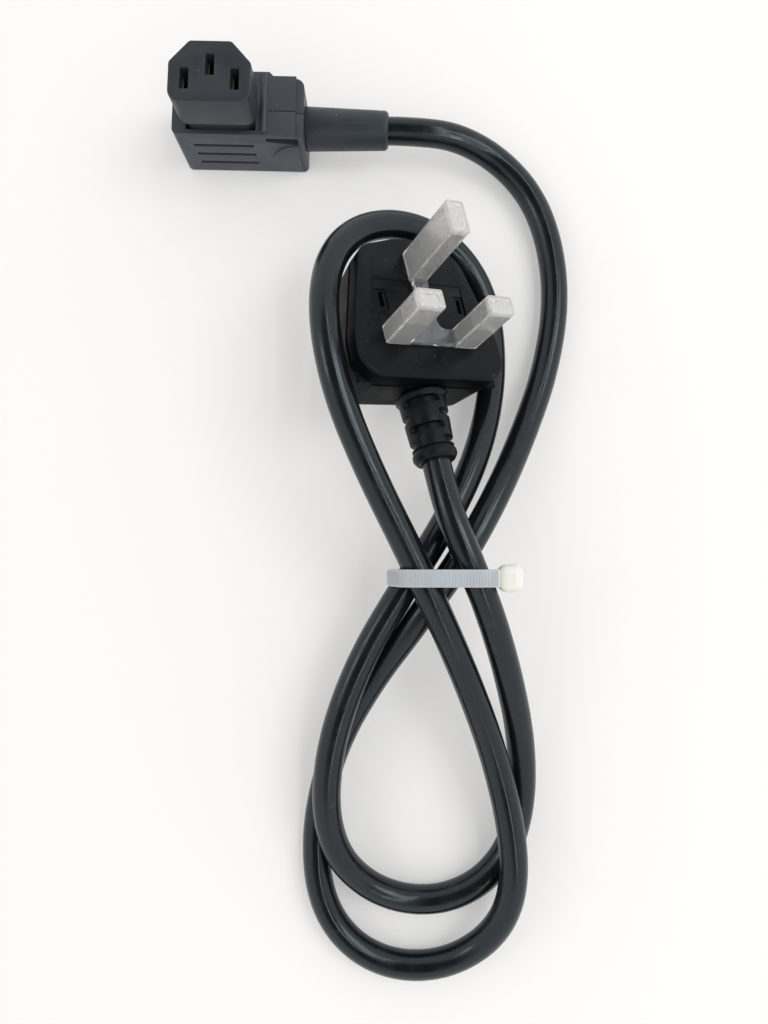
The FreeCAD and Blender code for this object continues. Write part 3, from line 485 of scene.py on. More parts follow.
class Shaper:
    """Models one mesh by hand tools, in the millimetres of its own sub-assembly."""

    def __init__(self, name: str) -> None:
        """Start with nothing selected.

        Args:
            name: of the piece.
        """
        clear_selection()
        self.name = name
        self.thing: Item | None = None

    def chosen(self) -> None:
        """Leave edit mode with this piece alone selected and active."""
        clear_selection()
        self.thing.select_set(True)
        bpy.context.view_layer.objects.active = self.thing

    def started(self) -> None:
        """Take the new primitive, with its place and size in its mesh, into edit mode."""
        self.thing = bpy.context.object
        self.thing.name = self.name
        bpy.ops.object.transform_apply(location=True, rotation=True, scale=True)
        bpy.ops.object.mode_set(mode="EDIT")
        bpy.ops.mesh.select_mode(type=Kind.POINTS.value)
        bpy.ops.mesh.select_all(action="SELECT")

    def block(self, low: Point, high: Point) -> None:
        """Start from a box between two corners.

        Args:
            low: its lowest corner.
            high: its highest corner.
        """
        middle = [(first + last) / 2 for first, last in zip(low, high)]
        bpy.ops.mesh.primitive_cube_add(size=1.0, location=middle)
        bpy.context.object.scale = [last - first for first, last in zip(low, high)]
        self.started()

    def ring(self, points: int, radius: float, level: float) -> None:
        """Start from an open circle about the third axis.

        Args:
            points: how many it has.
            radius: of the circle.
            level: its place along the axis.
        """
        bpy.ops.mesh.primitive_circle_add(vertices=points, radius=radius,
                                          location=(0.0, 0.0, level))
        self.started()

    def sheet(self, middle: Point, wide: float, tall: float) -> None:
        """Start from an upright rectangle that faces the first axis.

        Args:
            middle: its middle.
            wide: its size along the second axis.
            tall: its size along the third axis.
        """
        bpy.ops.mesh.primitive_plane_add(size=1.0, location=middle,
                                         rotation=(0.0, math.pi / 2, 0.0))
        bpy.context.object.scale = (tall, wide, 1.0)
        self.started()

    def pick(self, kind: Kind, test: Test) -> None:
        """Select the edges or faces that pass a test.

        Args:
            kind: edges or faces.
            test: called with the middle, and with a face's normal or an edge's direction.
        """
        bpy.ops.mesh.select_mode(type=kind.value)
        bpy.ops.mesh.select_all(action="DESELECT")
        shape = bmesh.from_edit_mesh(self.thing.data)
        if kind is Kind.FACES:
            found = [face for face in shape.faces if test(face.calc_center_median(), face.normal)]
        else:
            found = [edge for edge in shape.edges
                     if test((edge.verts[0].co + edge.verts[1].co) / 2,
                             (edge.verts[1].co - edge.verts[0].co).normalized())]
        for item in found:
            item.select_set(True)
        shape.select_flush_mode()
        bmesh.update_edit_mesh(self.thing.data)

    def extrude(self, move: Point) -> None:
        """Extrude the selection."""
        bpy.ops.mesh.extrude_region_move(TRANSFORM_OT_translate={"value": move})

    def scale(self, factors: Point, middle: Point) -> None:
        """Scale the selection about a point."""
        bpy.ops.transform.resize(value=factors, center_override=middle)

    def inset(self, width: float) -> None:
        """Inset the selected faces."""
        bpy.ops.mesh.inset(thickness=width, use_even_offset=True)

    def bevel(self, width: float, steps: int) -> None:
        """Round the selected edges."""
        bpy.ops.mesh.bevel(offset=width, segments=steps, profile=0.5, affect="EDGES")

    def bisect(self, place: Point, normal: Point) -> None:
        """Cut all faces along a plane."""
        bpy.ops.mesh.select_all(action="SELECT")
        bpy.ops.mesh.bisect(plane_co=place, plane_no=normal)

    def copy_of(self, node: Item) -> None:
        """Start from a copy of a CAD node, merged, with flat faces made whole.

        Args:
            node: the CAD node, which stays as it is.
        """
        self.thing = twin_of(node, node.matrix_world)
        self.thing.name = self.name
        self.thing.parent = None
        self.thing.matrix_world = Matrix.Identity(4)
        self.chosen()
        bpy.ops.object.mode_set(mode="EDIT")
        bpy.ops.mesh.select_mode(type=Kind.POINTS.value)
        self.tidy(SAME_POINT)
        bpy.ops.mesh.dissolve_limited(angle_limit=math.radians(SAME_FACE))

    def spin(self, steps: int, angle: float, middle: Point, axis: Point) -> None:
        """Sweep the selection about an axis."""
        bpy.ops.mesh.spin(steps=steps, angle=angle, center=middle, axis=axis)

    def tidy(self, reach: float = 0.001) -> None:
        """Merge doubles and turn all faces outwards.

        Args:
            reach: greatest distance between doubles.
        """
        bpy.ops.mesh.select_all(action="SELECT")
        bpy.ops.mesh.remove_doubles(threshold=reach)
        bpy.ops.mesh.normals_make_consistent(inside=False)

    def soften(self, width: float, steps: int = 2, angle: float = 35.0) -> None:
        """Round all sharp edges with an applied bevel.

        Args:
            width: of the bevel, in the mesh's own unit.
            steps: its segments.
            angle: least angle of an edge that is rounded, in degrees.
        """
        self.chosen()
        bevel = self.thing.modifiers.new("edges", "BEVEL")
        bevel.width = width
        bevel.segments = steps
        bevel.limit_method = "ANGLE"
        bevel.angle_limit = math.radians(angle)
        bevel.use_clamp_overlap = True
        bpy.ops.object.modifier_apply(modifier=bevel.name)

    def unite(self, other: Item) -> None:
        """Join another closed piece into this one and delete it.

        Args:
            other: the piece that is used up.
        """
        self.chosen()
        union = self.thing.modifiers.new("union", "BOOLEAN")
        union.operation = "UNION"
        union.solver = "MANIFOLD"
        union.object = other
        bpy.ops.object.modifier_apply(modifier=union.name)
        bpy.data.objects.remove(other, do_unlink=True)

    def shade(self, angle: float = 35.0) -> None:
        """Shade smooth, with edges sharper than an angle in degrees kept."""
        self.chosen()
        bpy.ops.object.shade_smooth_by_angle(angle=math.radians(angle))

    def place(self, matrix: Matrix) -> Item:
        """Carry the mesh to the row's frame, with its object left at the origin.

        Args:
            matrix: from the mesh's own unit and axes to the row's.

        Returns:
            The piece.
        """
        clear_selection()
        self.thing.data.transform(matrix)
        self.thing.data.update()
        return self.thing


def dress(nodes: Iterable[str], material: Finish) -> None:
    """Give CAD nodes a material.

    Args:
        nodes: names of the nodes.
        material: what they are made of.
    """
    for name in nodes:
        item = frame["nodes"][name]
        if not item.data.materials:
            item.data.materials.append(material)
        for index in range(len(item.data.materials)):
            item.data.materials[index] = material
        LOG.info("dressed %s in %s", name, material.name)


def ready(item: Item, body: str, node: str, materials: Iterable[Finish]) -> Item:
    """Dress a new piece, hang it on its body and hide the CAD node that it stands for.

    Args:
        item: the piece.
        body: the body that it rides on.
        node: the CAD node that it replaces.
        materials: its materials, in the order of its slots.

    Returns:
        The piece.
    """
    item.data.materials.clear()
    for material in materials:
        item.data.materials.append(material)
    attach(item, body)
    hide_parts(node)
    LOG.info("%s replaces %s", item.name, node)
    return item


def moulded(node: str, name: str, edge: float, slot: Slot, *materials: Finish) -> Item:
    """A moulding with the soft edges that it left its mould with.

    Args:
        node: the CAD node that it stands for.
        name: of the piece.
        edge: width of its softened edges in metres.
        slot: the record's slot of its finish; not used.
        materials: what it is made of.

    Returns:
        The moulding.
    """
    shaper = Shaper(name)
    shaper.copy_of(frame["nodes"][node])
    shaper.soften(edge, 3, 40.0)
    shaper.shade(35.0)
    return ready(shaper.thing, ROOT_BODY, node, materials)


@dataclass
class PinCover:
    """One-piece clear cover: three sleeves, closed at their tips, joined by a thin web.

    Attributes:
        seat: the plug's axes.
        pitch: between the line pins, and from them up to the earth pin.
        wall: thickness of the sleeves.
        gap: between a sleeve and its pin.
        end: thickness over a pin's tip.
        lift: of the web from the pin face.
        web: thickness of the web.
        line_pin: width, height and reach of a line pin.
        earth_pin: the same of the earth pin.
        edge: radius of the sleeves' edges.
        frosted: length of the clouded tip.
        hollow: of a tip's top: distance in, as a share of its half width, and depth.
        bar: lower and upper edge of the web between the line sleeves.
        strip: half the width of the web up to the earth sleeve.
        fillet: radius between the two.
        bar_edge: radius of the bar's lower edge.
    """

    seat: Seat
    pitch: float = 22.22
    wall: float = 0.7
    gap: float = 0.08
    end: float = 1.0
    lift: float = 0.05
    web: float = 1.6
    line_pin: Point = (6.35, 3.95, 17.7)
    earth_pin: Point = (3.95, 8.0, 22.7)
    edge: float = 0.7
    frosted: float = 1.9
    hollow: tuple[float, float] = (0.72, 0.16)
    bar: tuple[float, float] = (-2.6, 2.0)
    strip: float = 2.3
    fillet: float = 2.4
    bar_edge: float = 0.3

    def sleeve(self, name: str, middle: tuple[float, float], pin: Point) -> Item:
        """Closed sleeve over one pin.

        Args:
            name: of the piece.
            middle: of the pin, across and up.
            pin: its width, height and reach.

        Returns:
            The sleeve.
        """
        half_wide = pin[0] / 2 + self.gap + self.wall
        half_tall = pin[1] / 2 + self.gap + self.wall
        tip = pin[2] + self.gap + self.end
        shaper = Shaper(name)
        shaper.block((middle[0] - half_wide, middle[1] - half_tall, self.lift),
                     (middle[0] + half_wide, middle[1] + half_tall, tip))
        shaper.pick(Kind.FACES, lambda place, normal: normal.z < -0.9)
        shaper.inset(self.wall)
        shaper.extrude((0.0, 0.0, tip - self.end - self.lift))
        shaper.pick(Kind.FACES, lambda place, normal: normal.z > 0.9 and place.z > tip - 0.1)
        shaper.inset(min(half_wide, half_tall) * self.hollow[0])
        shaper.extrude((0.0, 0.0, -self.hollow[1]))
        shaper.pick(Kind.EDGES, lambda place, along: (
            place.z > tip - 0.01 and (abs(place.x - middle[0]) > half_wide - 0.01
                                      or abs(place.y - middle[1]) > half_tall - 0.01)
            or abs(along.z) > 0.9 and abs(place.x - middle[0]) > half_wide - 0.01
            and abs(place.y - middle[1]) > half_tall - 0.01))
        shaper.bevel(self.edge, 4)
        shaper.bisect((0.0, 0.0, tip - self.frosted), (0.0, 0.0, 1.0))
        clear_selection()
        return shaper.thing

    def bridge(self) -> Shaper:
        """The web: a bar between the line sleeves with a strip up to the earth sleeve.

        Returns:
            Its shaper, still in edit mode.
        """
        foot = self.pitch / 2 - self.line_pin[0] / 2 - self.gap - self.wall / 2
        head = self.pitch - self.earth_pin[1] / 2 - self.gap - self.wall / 2
        low, shoulder = self.bar
        shaper = Shaper("pin_cover_clear")
        shaper.block((-foot, low, self.lift + 0.05), (foot, shoulder, self.lift + self.web))
        for side in (-self.strip, self.strip):
            shaper.bisect((side, 0.0, 0.0), (1.0, 0.0, 0.0))
        shaper.pick(Kind.FACES, lambda place, normal: normal.y > 0.9 and abs(place.x) < 1.0)
        shaper.extrude((0.0, head - shoulder, 0.0))
        shaper.pick(Kind.EDGES, lambda place, along: (
            abs(along.z) > 0.9 and abs(place.y - shoulder) < 0.01
            and abs(abs(place.x) - self.strip) < 0.01))
        shaper.bevel(self.fillet, 6)
        shaper.pick(Kind.EDGES, lambda place, along: (
            place.z > self.lift + self.web - 0.01 and place.y < low + 0.1))
        shaper.bevel(self.bar_edge, 2)
        return shaper

    def build(self) -> Item:
        """Model, join, dress and place the cover.

        Returns:
            The cover.
        """
        half = self.pitch / 2
        line = self.sleeve("line_sleeve", (half, 0.0), self.line_pin)
        other = twin_of(line, Matrix.Translation((-self.pitch, 0.0, 0.0)))
        earth = self.sleeve("earth_sleeve", (0.0, self.pitch), self.earth_pin)
        shaper = self.bridge()
        for part in (line, other, earth):
            shaper.unite(part)
        finishes = [self.finish_of(face.center, face.normal) for face in shaper.thing.data.polygons]
        shaper.shade(40.0)
        # the frosted tips' finish, also laid on the sleeves' bevelled edges as a painted highlight
        frosted = ClearPlastic("frosted tips, edges with painted highlight", (0.98, 0.98, 0.96), 0.22, 0.6)
        # painted reflection: the web, one clear moulding with the sleeves, is given a pale blue for
        # the sky that it reflects
        cover = ready(shaper.place(self.seat.matrix()), COVER_BODY, "pin_cover",
                      (ClearPlastic().build(), frosted.build(),
                       ClearPlastic("web with painted blue reflection", (0.7, 0.82, 0.95), 0.06, 0.93).build()))
        for face, finish in zip(cover.data.polygons, finishes):
            face.material_index = finish
        return cover

    def finish_of(self, place: Vector, normal: Vector) -> int:
        """Which of the cover's three finishes a face has.

        Args:
            place: the face's middle.
            normal: its normal.

        Returns:
            0 for clear, 1 for the frosted tips and for bevelled edges, where that finish is a
            painted highlight, 2 for the web's.
        """
        in_web = abs(place.x) < self.pitch / 2 - self.line_pin[0] / 2 - 1.0
        if place.z < self.lift + self.web + 0.1 and in_web and place.y < self.pitch - 5.0:
            return 2
        reach = self.earth_pin[2] if place.y > self.pitch / 2 else self.line_pin[2]
        tip = place.z > reach + self.gap + self.end - self.frosted
        # painted highlight: bevelled edges above the web take the paler finish of the tips
        rounded = max(abs(part) for part in normal) < 0.98 and place.z > self.web
        return int(tip or rounded)


@dataclass
class Boot:
    """Strain relief: a collar, a tapered sleeve with pairs of slots, and an end ring.

    Attributes:
        seat: the boot's axes, its third along the lead.
        root: distance from the line pins and radius of each ring up to the sleeve.
        sleeve: the same at the sleeve's end.
        ring: the same round the end ring.
        slots: distances of the slots' middles.
        slot_wide: width of a slot.
        slot_span: angle of a slot, in degrees.
        core: radius of the slots' bottom, where the sleeve has its usual radius.
        usual: that radius.
        edge: width of the softened edges.
        bore: radius of the bore.
        columns: points round the boot.
    """

    seat: Seat
    root: tuple[tuple[float, float], ...] = (
        (9.0, 5.6), (13.15, 5.6), (13.15, 7.6), (13.9, 7.6), (14.65, 6.9))
    sleeve: tuple[float, float] = (29.05, 6.03)
    ring: tuple[tuple[float, float], ...] = ((29.1, 5.5), (30.33, 6.3), (31.57, 6.3), (32.8, 5.5))
    slots: tuple[float, ...] = (15.9, 19.85, 23.8, 27.75)
    slot_wide: float = 2.0
    slot_span: float = 100.0
    core: float = 4.9
    usual: float = 6.5
    edge: float = 0.2
    bore: float = 4.15
    columns: int = 72

    def radius(self, distance: float) -> float:
        """Radius of the tapered sleeve at a distance."""
        (start, wide), (end, narrow) = self.root[-1], self.sleeve
        return wide + (narrow - wide) * (distance - start) / (end - start)

    def stations(self) -> list[tuple[float, float]]:
        """All rings of points, out along the boot and back in its bore.

        Returns:
            Their distances and radii.
        """
        rows = list(self.root)
        for middle in self.slots:
            for share in (-0.5, -0.36, 0.0, 0.36, 0.5):
                distance = middle + share * self.slot_wide
                rows.append((distance, self.radius(distance)))
        return [*rows, self.sleeve, *self.ring, (self.ring[-1][0], self.bore),
                (self.root[0][0], self.bore), self.root[0]]

    def in_slot(self, place: Vector, normal: Vector) -> bool:
        """Whether a face of the sleeve lies in one of the slots, whose ends are rounded.

        Args:
            place: the face's middle.
            normal: its normal.

        Returns:
            Whether it does.
        """
        for index, middle in enumerate(self.slots):
            offset = abs(place.z - middle)
            if offset > self.slot_wide / 2 or abs(normal.z) > 0.5:
                continue
            ahead = (place.x, place.y) if index % 2 else (place.y, place.x)
            angle = math.degrees(math.atan2(abs(ahead[1]), abs(ahead[0])))
            room = self.slot_span / 2 - (360 / self.columns if offset > 0.4 * self.slot_wide else 0)
            return angle < room
        return False

    def build(self) -> Item:
        """Model, dress and place the boot.

        Returns:
            The boot.
        """
        rows = self.stations()
        shaper = Shaper("slotted_boot")
        shaper.ring(self.columns, rows[0][1], rows[0][0])
        for (last, before), (level, radius) in zip(rows, rows[1:]):
            shaper.extrude((0.0, 0.0, level - last))
            shaper.scale((radius / before, radius / before, 1.0), (0.0, 0.0, level))
        shaper.tidy()
        shaper.pick(Kind.FACES, self.in_slot)
        shaper.extrude((0.0, 0.0, 0.0))
        shaper.scale((self.core / self.usual, self.core / self.usual, 1.0), (0.0, 0.0, 0.0))
        shaper.soften(self.edge, 2, 40.0)
        shaper.shade(50.0)
        finish = Moulding("boot plastic", (0.0025, 0.003, 0.0036), 0.4, 0.00003, 1500.0, 0.25, 0.2)
        return ready(shaper.place(self.seat.matrix()), ROOT_BODY, "cable_boot",
                     (finish.build(),))


@dataclass
class Tie:
    """Nylon tie: a ribbed band drawn tight round the four strands, and its head.

    Attributes:
        middle: of the band along the hank.
        wide: width of the band.
        wall: its thickness.
        room: from a strand's middle to the band.
        pegs: middle lines of the strands that the band turns round.
        rib: pitch of the ribs.
        relief: height of the ribs.
        smooth: where the ribs on top are low, across the hank.
        worn: share of their height left there.
        rib_half: half a rib's thickness, as a share of the pitch.
        margin: from a rib's end to the band's edge.
        edge: width of the band's softened edges.
        head_low: lowest corner of the head.
        head_high: its highest corner.
        head_edge: radius of its edges.
        rim: round the hollow on top.
        sunk: what its hollows leave of its height, as a share.
    """

    middle: float = -64.7
    wide: float = 4.8
    wall: float = 1.0
    room: float = 5.15
    pegs: tuple[tuple[float, float], ...] = ((10.4, 19.3), (16.1, 28.6), (-0.2, 28.6), (-2.5, 19.3))
    rib: float = 0.8
    relief: float = 0.12
    smooth: tuple[float, float] = (4.0, 13.0)
    worn: float = 0.4
    rib_half: float = 0.3
    margin: float = 0.5
    edge: float = 0.25
    head_low: Point = (21.5, -68.5, 25.2)
    head_high: Point = (28.3, -60.9, 32.0)
    head_edge: float = 2.4
    rim: float = 0.3
    sunk: float = 0.97

    def corners(self) -> list[tuple[Vector, float, float]]:
        """What the band does at each strand.

        Returns:
            Each strand's middle, with the band's heading before it and its turn round it.
        """
        count = len(self.pegs)
        rows = []
        for index in range(count):
            before, here, after = (Vector(self.pegs[(index + step) % count]) for step in (-1, 0, 1))
            heading = math.atan2(here.y - before.y, here.x - before.x)
            turn = (math.atan2(after.y - here.y, after.x - here.x) - heading) % (2 * math.pi)
            rows.append((here, heading, turn))
        return rows

    def band(self) -> Shaper:
        """Sweep the band's section along its straight runs and round each strand.

        Returns:
            Its shaper, still in edit mode.
        """
        line = self.room + self.wall / 2
        start = Vector(((self.pegs[0][0] + self.pegs[-1][0]) / 2, self.pegs[0][1]))
        shaper = Shaper("nylon_tie")
        shaper.sheet((start.x, self.middle, start.y - line), self.wide, self.wall)
        spot = start
        for here, heading, turn in self.corners():
            run = (here - spot).length
            shaper.extrude((math.cos(heading) * run, 0.0, math.sin(heading) * run))
            shaper.spin(round(turn * line / self.rib), turn, (here.x, self.middle, here.y),
                        (0.0, 1.0, 0.0))
            spot = here
        shaper.extrude((start.x - spot.x, 0.0, 0.0))
        shaper.pick(Kind.FACES, lambda place, normal: abs(place.x - start.x) < 0.001
                    and abs(normal.x) > 0.9)
        bpy.ops.mesh.delete(type="ONLY_FACE")
        shaper.tidy(0.01)
        return shaper

    def rib_seats(self) -> list[Matrix]:
        """Places of the ribs on the outside of the band.

        Returns:
            For each rib, how its mesh moves.
        """
        reach = self.room + self.wall
        rows = self.corners()
        seats = []
        for index, (here, heading, turn) in enumerate(rows):
            outer = Vector((math.sin(heading), -math.cos(heading))) * reach
            before = rows[index - 1][0]
            steps = round((here - before).length / self.rib)
            seats += [(before + (here - before) * step / steps + outer, heading)
                      for step in range(steps)]
            steps = round(turn * reach / self.rib)
            for step in range(steps):
                angle = heading + turn * step / steps
                seats.append((here + Vector((math.sin(angle), -math.cos(angle))) * reach, angle))
        low, high = self.smooth
        up = (0.0, 0.0, 1.0)
        return [Matrix.Translation((place.x, self.middle, place.y))
                @ Matrix.Rotation(-angle, 4, "Y")
                @ Matrix.Scale(1.0 if place.y < self.pegs[1][1] or not low < place.x < high
                               else self.worn, 4, up) for place, angle in seats]

    def head(self) -> Item:
        """The head: a rounded block, a little hollow on top and beneath.

        Returns:
            The head.
        """
        low, high = self.head_low, self.head_high
        centre = tuple((first + last) / 2 for first, last in zip(low, high))
        shaper = Shaper("tie_head")
        shaper.block(low, high)
        shaper.soften(self.head_edge, 6, 60.0)
        bpy.ops.object.mode_set(mode="EDIT")
        shaper.pick(Kind.FACES, lambda place, normal: abs(normal.z) > 0.998)
        shaper.inset(self.rim)
        shaper.extrude((0.0, 0.0, 0.0))
        shaper.scale((1.0, 1.0, self.sunk), centre)
        return shaper.thing

    def build(self) -> Item:
        """Model, join, dress and place the tie.

        Returns:
            The tie.
        """
        thick, long = self.rib * self.rib_half, self.wide / 2 - self.margin
        rib = Shaper("tie_rib")
        rib.block((-thick, -long, -self.relief), (thick, long, self.relief))
        rib.soften(self.relief * 0.7)
        parts = [twin_of(rib.thing, seat) for seat in self.rib_seats()]
        bpy.data.objects.remove(rib.thing, do_unlink=True)
        head = self.head()
        band = self.band()
        band.soften(self.edge, 2, 60.0)
        band.chosen()
        for part in (*parts, head):
            part.select_set(True)
        bpy.ops.object.join()
        band.shade(40.0)
        # painted shade: band and head are one nylon; the head takes a lit cream copy, the band the
        # darker blue-grey default
        lit_head_nylon = Nylon("lit tie head nylon", (0.8, 0.8, 0.76), (0.83, 0.82, 0.77))
        tie = ready(band.place(Matrix.Scale(MM, 4)), ROOT_BODY, "cable_tie",
                    (Nylon().build(), lit_head_nylon.build()))
        # faces from just left of the head on take the lit cream copy, the rest the painted shade
        for face in tie.data.polygons:
            face.material_index = int(face.center.x > (self.head_low[0] - 0.1) * MM)
        return tie


@dataclass
class Lead:
    """The round mains lead: one smooth line along the route that the solids take.

    Attributes:
        diameter: of the sheath, in metres.
        length: along its middle line, in metres.
        route: control points in millimetres, from the plug to the connector.
    """

    diameter: float = 0.0082
    length: float = 0.986
    route: tuple[Point, ...] = (
        (4.99, -32.503, 27.073),
        (7.57, -44.71, 29.42), (12.8, -57.9, 30.2), (19.9, -74.5, 26.0), (26.2, -93.4, 17.8),
        (30.8, -112.4, 9.6), (31.7, -130.6, 5.1), (28.1, -144.8, 4.1), (20.1, -154.6, 4.1),
        (8.7, -160.0, 4.1), (-3.9, -160.0, 4.5), (-15.3, -154.7, 6.5), (-23.6, -144.7, 10.0),
        (-26.8, -129.5, 13.8), (-24.3, -109.4, 16.2), (-16.2, -87.9, 17.6), (-4.6, -68.5, 19.4),
        (7.6, -50.0, 19.5), (17.5, -30.5, 14.4), (23.2, -10.0, 8.2), (24.1, 8.7, 5.4),
        (21.1, 22.9, 6.3), (14.4, 32.8, 9.8), (4.5, 38.6, 14.8), (-7.0, 39.2, 20.8),
        (-17.7, 34.0, 27.6), (-24.8, 22.8, 34.5), (-26.2, 5.7, 39.6), (-22.1, -15.5, 39.1),
        (-13.4, -36.2, 34.4), (-3.4, -55.9, 29.7), (6.0, -75.9, 26.9), (14.6, -95.3, 20.2),
        (22.1, -115.5, 14.8), (26.9, -135.7, 13.8), (28.0, -151.7, 12.6), (24.8, -164.1, 9.7),
        (16.9, -173.5, 6.4), (5.6, -178.8, 4.5), (-7.1, -178.8, 4.1), (-18.4, -173.6, 4.2),
        (-26.4, -164.0, 4.4), (-30.0, -150.6, 4.4), (-29.4, -133.4, 4.1), (-23.8, -113.9, 4.1),
        (-13.2, -95.1, 8.8), (-0.8, -78.1, 16.2), (12.2, -59.9, 20.6), (23.2, -41.1, 16.4),
        (32.3, -22.4, 9.1), (40.2, -2.1, 5.0), (44.3, 19.7, 4.1), (43.0, 38.6, 4.1),
        (37.6, 54.6, 4.1), (27.5, 66.1, 5.0), (14.6, 71.6, 8.8), (2.77, 72.53, 11.0),
        (-8.231, 72.777, 11.0))

    def line(self) -> Item:
        """The lead as a curve with a round section.

        Returns:
            The curve.
        """
        curve = bpy.data.curves.new("lead", "CURVE")
        curve.dimensions = "3D"
        spline = curve.splines.new("NURBS")
        spline.points.add(len(self.route) - 1)
        for point, place in zip(spline.points, self.route):
            point.co = (*(part * MM for part in place), 1.0)
        spline.order_u = 3
        spline.use_endpoint_u = True
        spline.resolution_u = 12
        curve.bevel_depth = self.diameter / 2
        curve.bevel_resolution = 9
        curve.use_fill_caps = True
        lead = bpy.data.objects.new("lead", curve)
        show(lead)
        return lead

    def build(self, on_it: list[Item]) -> Item:
        """Args:
            on_it: the pieces that lie on it or at its far end; not used.

        Returns:
            The lead.
        """
        lead = ready(self.line(), ROOT_BODY, "cord", (Sheath().build(),))
        return lead


@dataclass(frozen=True)
class Lamp:
    """A flat lamp that faces the middle of the object.

    Attributes:
        name: of the lamp.
        direction: towards the lamp.
        distance: in metres.
        sides: along the table and across it, in metres.
        watts: its power.
    """

    name: str
    direction: Point
    distance: float
    sides: tuple[float, float]
    watts: float

    def build(self) -> None:
        """Hang the lamp."""
        data = bpy.data.lights.new(self.name, "AREA")
        data.shape = "RECTANGLE"
        data.size, data.size_y = self.sides
        data.energy = self.watts
        lamp = bpy.data.objects.new(self.name, data)
        towards = Vector(self.direction).normalized()
        lamp.location = Vector((0.0, -0.05, 0.0)) + towards * self.distance
        lamp.rotation_mode = "QUATERNION"
        lamp.rotation_quaternion = towards.to_track_quat("Z", "Y")
        show(lamp)


@dataclass
class Studio:
    """Table, lamps, surroundings and camera.

    Attributes:
        eye: the camera's place in metres.
        lean: its tilt from straight down, in degrees.
        focal: focal length in pixels.
        frame_long: the picture's long side in pixels.
        sensor: the sensor's long side in millimetres.
        table_size: of its square top, in metres.
        table_tone: colour of the table.
        lift: share of plain white in what the camera sees of the table.
        surround: brightness of the room.
        shaded: share of it that is left straight above.
        above: heights of a direction where that begins and is complete.
        light: colour of the room's light.
        lamps: the lamps.
    """

    eye: Point = (-0.0096, -0.0613, 0.240)
    lean: float = 4.0
    focal: float = 769.0
    frame_long: int = 1024
    sensor: float = 36.0
    table_size: float = 40.0
    table_tone: Colour = (0.93, 0.925, 0.915)
    lift: float = 0.3
    surround: float = 1.08
    shaded: float = 0.06
    above: tuple[float, float] = (0.72, 0.93)
    light: tuple[float, ...] = (1.0, 0.985, 0.965, 1.0)
    lamps: tuple[Lamp, ...] = (
        Lamp("key", (0.70, 0.22, 1.0), 1.5, (0.6, 0.6), 4.6),
        Lamp("fill", (-0.9, 0.1, 0.8), 1.2, (0.3, 0.3), 0.8),
        Lamp("strip", (0.34, 0.0, 1.0), 1.15, (1.6, 0.07), 2.6))

    def camera(self) -> None:
        """Camera over the table, as the photograph was taken."""
        data = bpy.data.cameras.new("camera")
        data.sensor_width = self.sensor
        data.lens = self.focal * self.sensor / self.frame_long
        data.clip_start = 0.01
        camera = bpy.data.objects.new("camera", data)
        camera.location = self.eye
        camera.rotation_euler = (math.radians(self.lean), 0.0, 0.0)
        show(camera)
        bpy.context.scene.camera = camera

    def seen(self, board: NodeBoard) -> Socket:
        """Whether a ray comes from the camera, a mirror or through glass.

        Args:
            board: the board that the nodes join.

        Returns:
            A factor that is 1 for such a ray.
        """
        rays = add_node(board.tree, "LightPath", {}).outputs
        socket = rays["Is Camera Ray"]
        for name in ("Is Glossy Ray", "Is Transmission Ray"):
            socket = board.math("MAXIMUM", socket, rays[name])
        return socket

    def table(self) -> None:
        """A plain pale table top that shows white and keeps its soft shadows."""
        clear_selection()
        bpy.ops.mesh.primitive_plane_add(size=self.table_size)
        table = bpy.context.object
        table.name = "table"
        board = NodeBoard("table top")
        darker = tuple(part * 0.985 for part in self.table_tone)
        board.shade(Base_Color=board.blend(board.noise(9.0, 2.0), self.table_tone, darker),
                    Roughness=0.7, Specular_IOR_Level=0.2)
        tree = board.tree
        mix = add_node(tree, "MixShader", {
            0: board.math("MULTIPLY", self.seen(board), self.lift),
            1: board.shader.outputs[0], 2: add_node(tree, "Emission", {}).outputs[0]})
        feed(tree.nodes["Material Output"], {"Surface": mix.outputs[0]})
        table.data.materials.append(board.material)

    def room(self) -> None:
        """A pale room, darker straight above, where the camera and its holder block the light."""
        world = bpy.data.worlds.new("room")
        world.use_nodes = True
        bpy.context.scene.world = world
        tree = world.node_tree
        side = add_node(tree, "TexCoord", {}).outputs["Generated"]
        split = add_node(tree, "SeparateXYZ", {"Vector": side})
        ramp = add_node(tree, "MapRange", {
            "From Min": self.above[0], "From Max": self.above[1], "To Min": self.surround,
            "To Max": self.surround * self.shaded, "Value": split.outputs["Z"]},
            interpolation_type="SMOOTHSTEP")
        camera_ray = add_node(tree, "LightPath", {}).outputs["Is Camera Ray"]
        seen = add_node(tree, "Mix", {0: camera_ray, 2: ramp.outputs["Result"], 3: 1.0})
        feed(tree.nodes["Background"], {"Strength": seen.outputs[0], "Color": self.light})

    def build(self) -> None:
        """Set up everything round the object."""
        self.camera()
        self.table()
        for lamp in self.lamps:
            lamp.build()
        self.room()
        bpy.context.scene.view_settings.view_transform = "Standard"
        LOG.info("studio: camera, table, %d lamps", len(self.lamps))


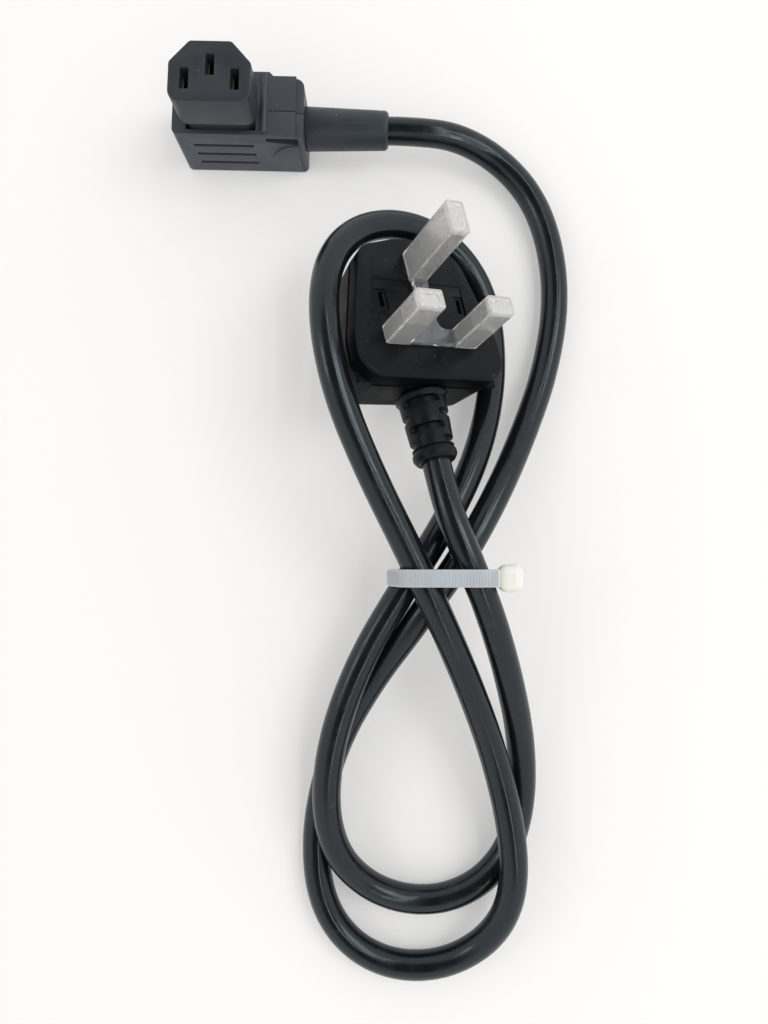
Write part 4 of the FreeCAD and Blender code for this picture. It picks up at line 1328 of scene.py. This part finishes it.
def dress_solids(plug: Seat) -> list[Item]:
    """Soften the mouldings, paint shade on the pin plate's sides, and give every CAD node that
    stays in view its finish.

    Args:
        plug: the plug's axes, its third along the pins.

    Returns:
        The connector's softened mouldings.
    """
    housing = Moulding("plug housing", (0.0025, 0.003, 0.004), 0.5, dust=0.3, shine=0.1).build()
    moulded("plug_housing", "soft_housing", 0.0002, Slot.HOUSING, housing)
    face = Moulding("plug face", (0.0035, 0.0042, 0.0052), 0.3, 0.00001, 3200.0, 0.5, 0.13).build()
    # painted shade: the pin plate's sides take a darker copy of its own finish that hardly
    # reflects, for the shade of the lead lying against them
    shaded_walls = Moulding("plate walls", (0.0025, 0.003, 0.004), 0.5, shine=0.02).build()
    plate = moulded("pin_plate", "soft_pin_plate", 0.00012, Slot.PLATE, face, shaded_walls)
    # faces that run along the pins are the sides, which take the painted shade copy
    for side in plate.data.polygons:
        side.material_index = int(abs(side.normal.dot(plug.out)) < 0.2)
    dress(["fuse_carrier"], face)
    far_end = []
    for node, name, edge, tone in (
            ("connector_body", "soft_connector", 0.0004, (0.039, 0.0435, 0.055)),
            ("connector_nose", "soft_nose", 0.00025, (0.018, 0.0215, 0.026)),
            ("connector_relief", "soft_relief", 0.00025, (0.021, 0.025, 0.031))):
        finish = Moulding(name, tone, 0.42, 0.00003, 2200.0, 0.5, 0.4)
        far_end.append(moulded(node, name, edge, Slot.CONNECTOR, finish.build()))
    for nodes, finish in (
            (("live_pin", "neutral_pin", "earth_pin"),
             PlatedMetal("pin plating", (0.66, 0.65, 0.62))),
            (("live_pin_sleeve", "neutral_pin_sleeve"),
             Moulding("pin sleeve", (0.006, 0.006, 0.007), 0.4)),
            (("fuse_cap_line", "fuse_cap_load"),
             PlatedMetal("fuse caps", (0.68, 0.67, 0.64), 0.2)),
            (("fuse_tube",), Moulding("fuse ceramic", (0.82, 0.79, 0.72), 0.25)),
            # painted shade: this brass is darkened far below its own colour, for the shade deep in
            # the connector's slots
            (("line_clip", "load_clip", "neutral_crimp", "earth_crimp", "live_crimp", *CONTACTS),
             PlatedMetal("contact brass darkened as painted shade", (0.24, 0.205, 0.145))),
            (("neutral_wire", "connector_neutral_wire"),
             Moulding("blue core", (0.03, 0.12, 0.45), 0.35)),
            (("live_wire", "connector_live_wire"),
             Moulding("brown core", (0.2, 0.08, 0.03), 0.35)),
            (("earth_wire", "connector_earth_wire"),
             Moulding("green core", (0.1, 0.38, 0.08), 0.35)),
            (("cord_end_in_plug", "cord_end_in_connector"), Sheath("gripped lead"))):
        dress(nodes, finish.build())
    return far_end


def main() -> None:
    """Build the scene in order."""
    logging.basicConfig(level=logging.INFO, format="%(message)s")
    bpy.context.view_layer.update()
    Studio().build()
    plug = Seat.of_plug(frame["record"])
    connector = dress_solids(plug)
    tie = Tie().build()
    on_lead = [tie, *connector] + [frame["nodes"][name] for name in (
        *CONTACTS, "connector_live_wire", "connector_earth_wire", "connector_neutral_wire",
        "cord_end_in_connector")]
    Lead().build(on_lead)
    Boot(Seat.of_boot(plug)).build()
    PinCover(plug).build()
    clear_selection()
    bpy.context.view_layer.update()


if __name__ == "__main__":
    main()
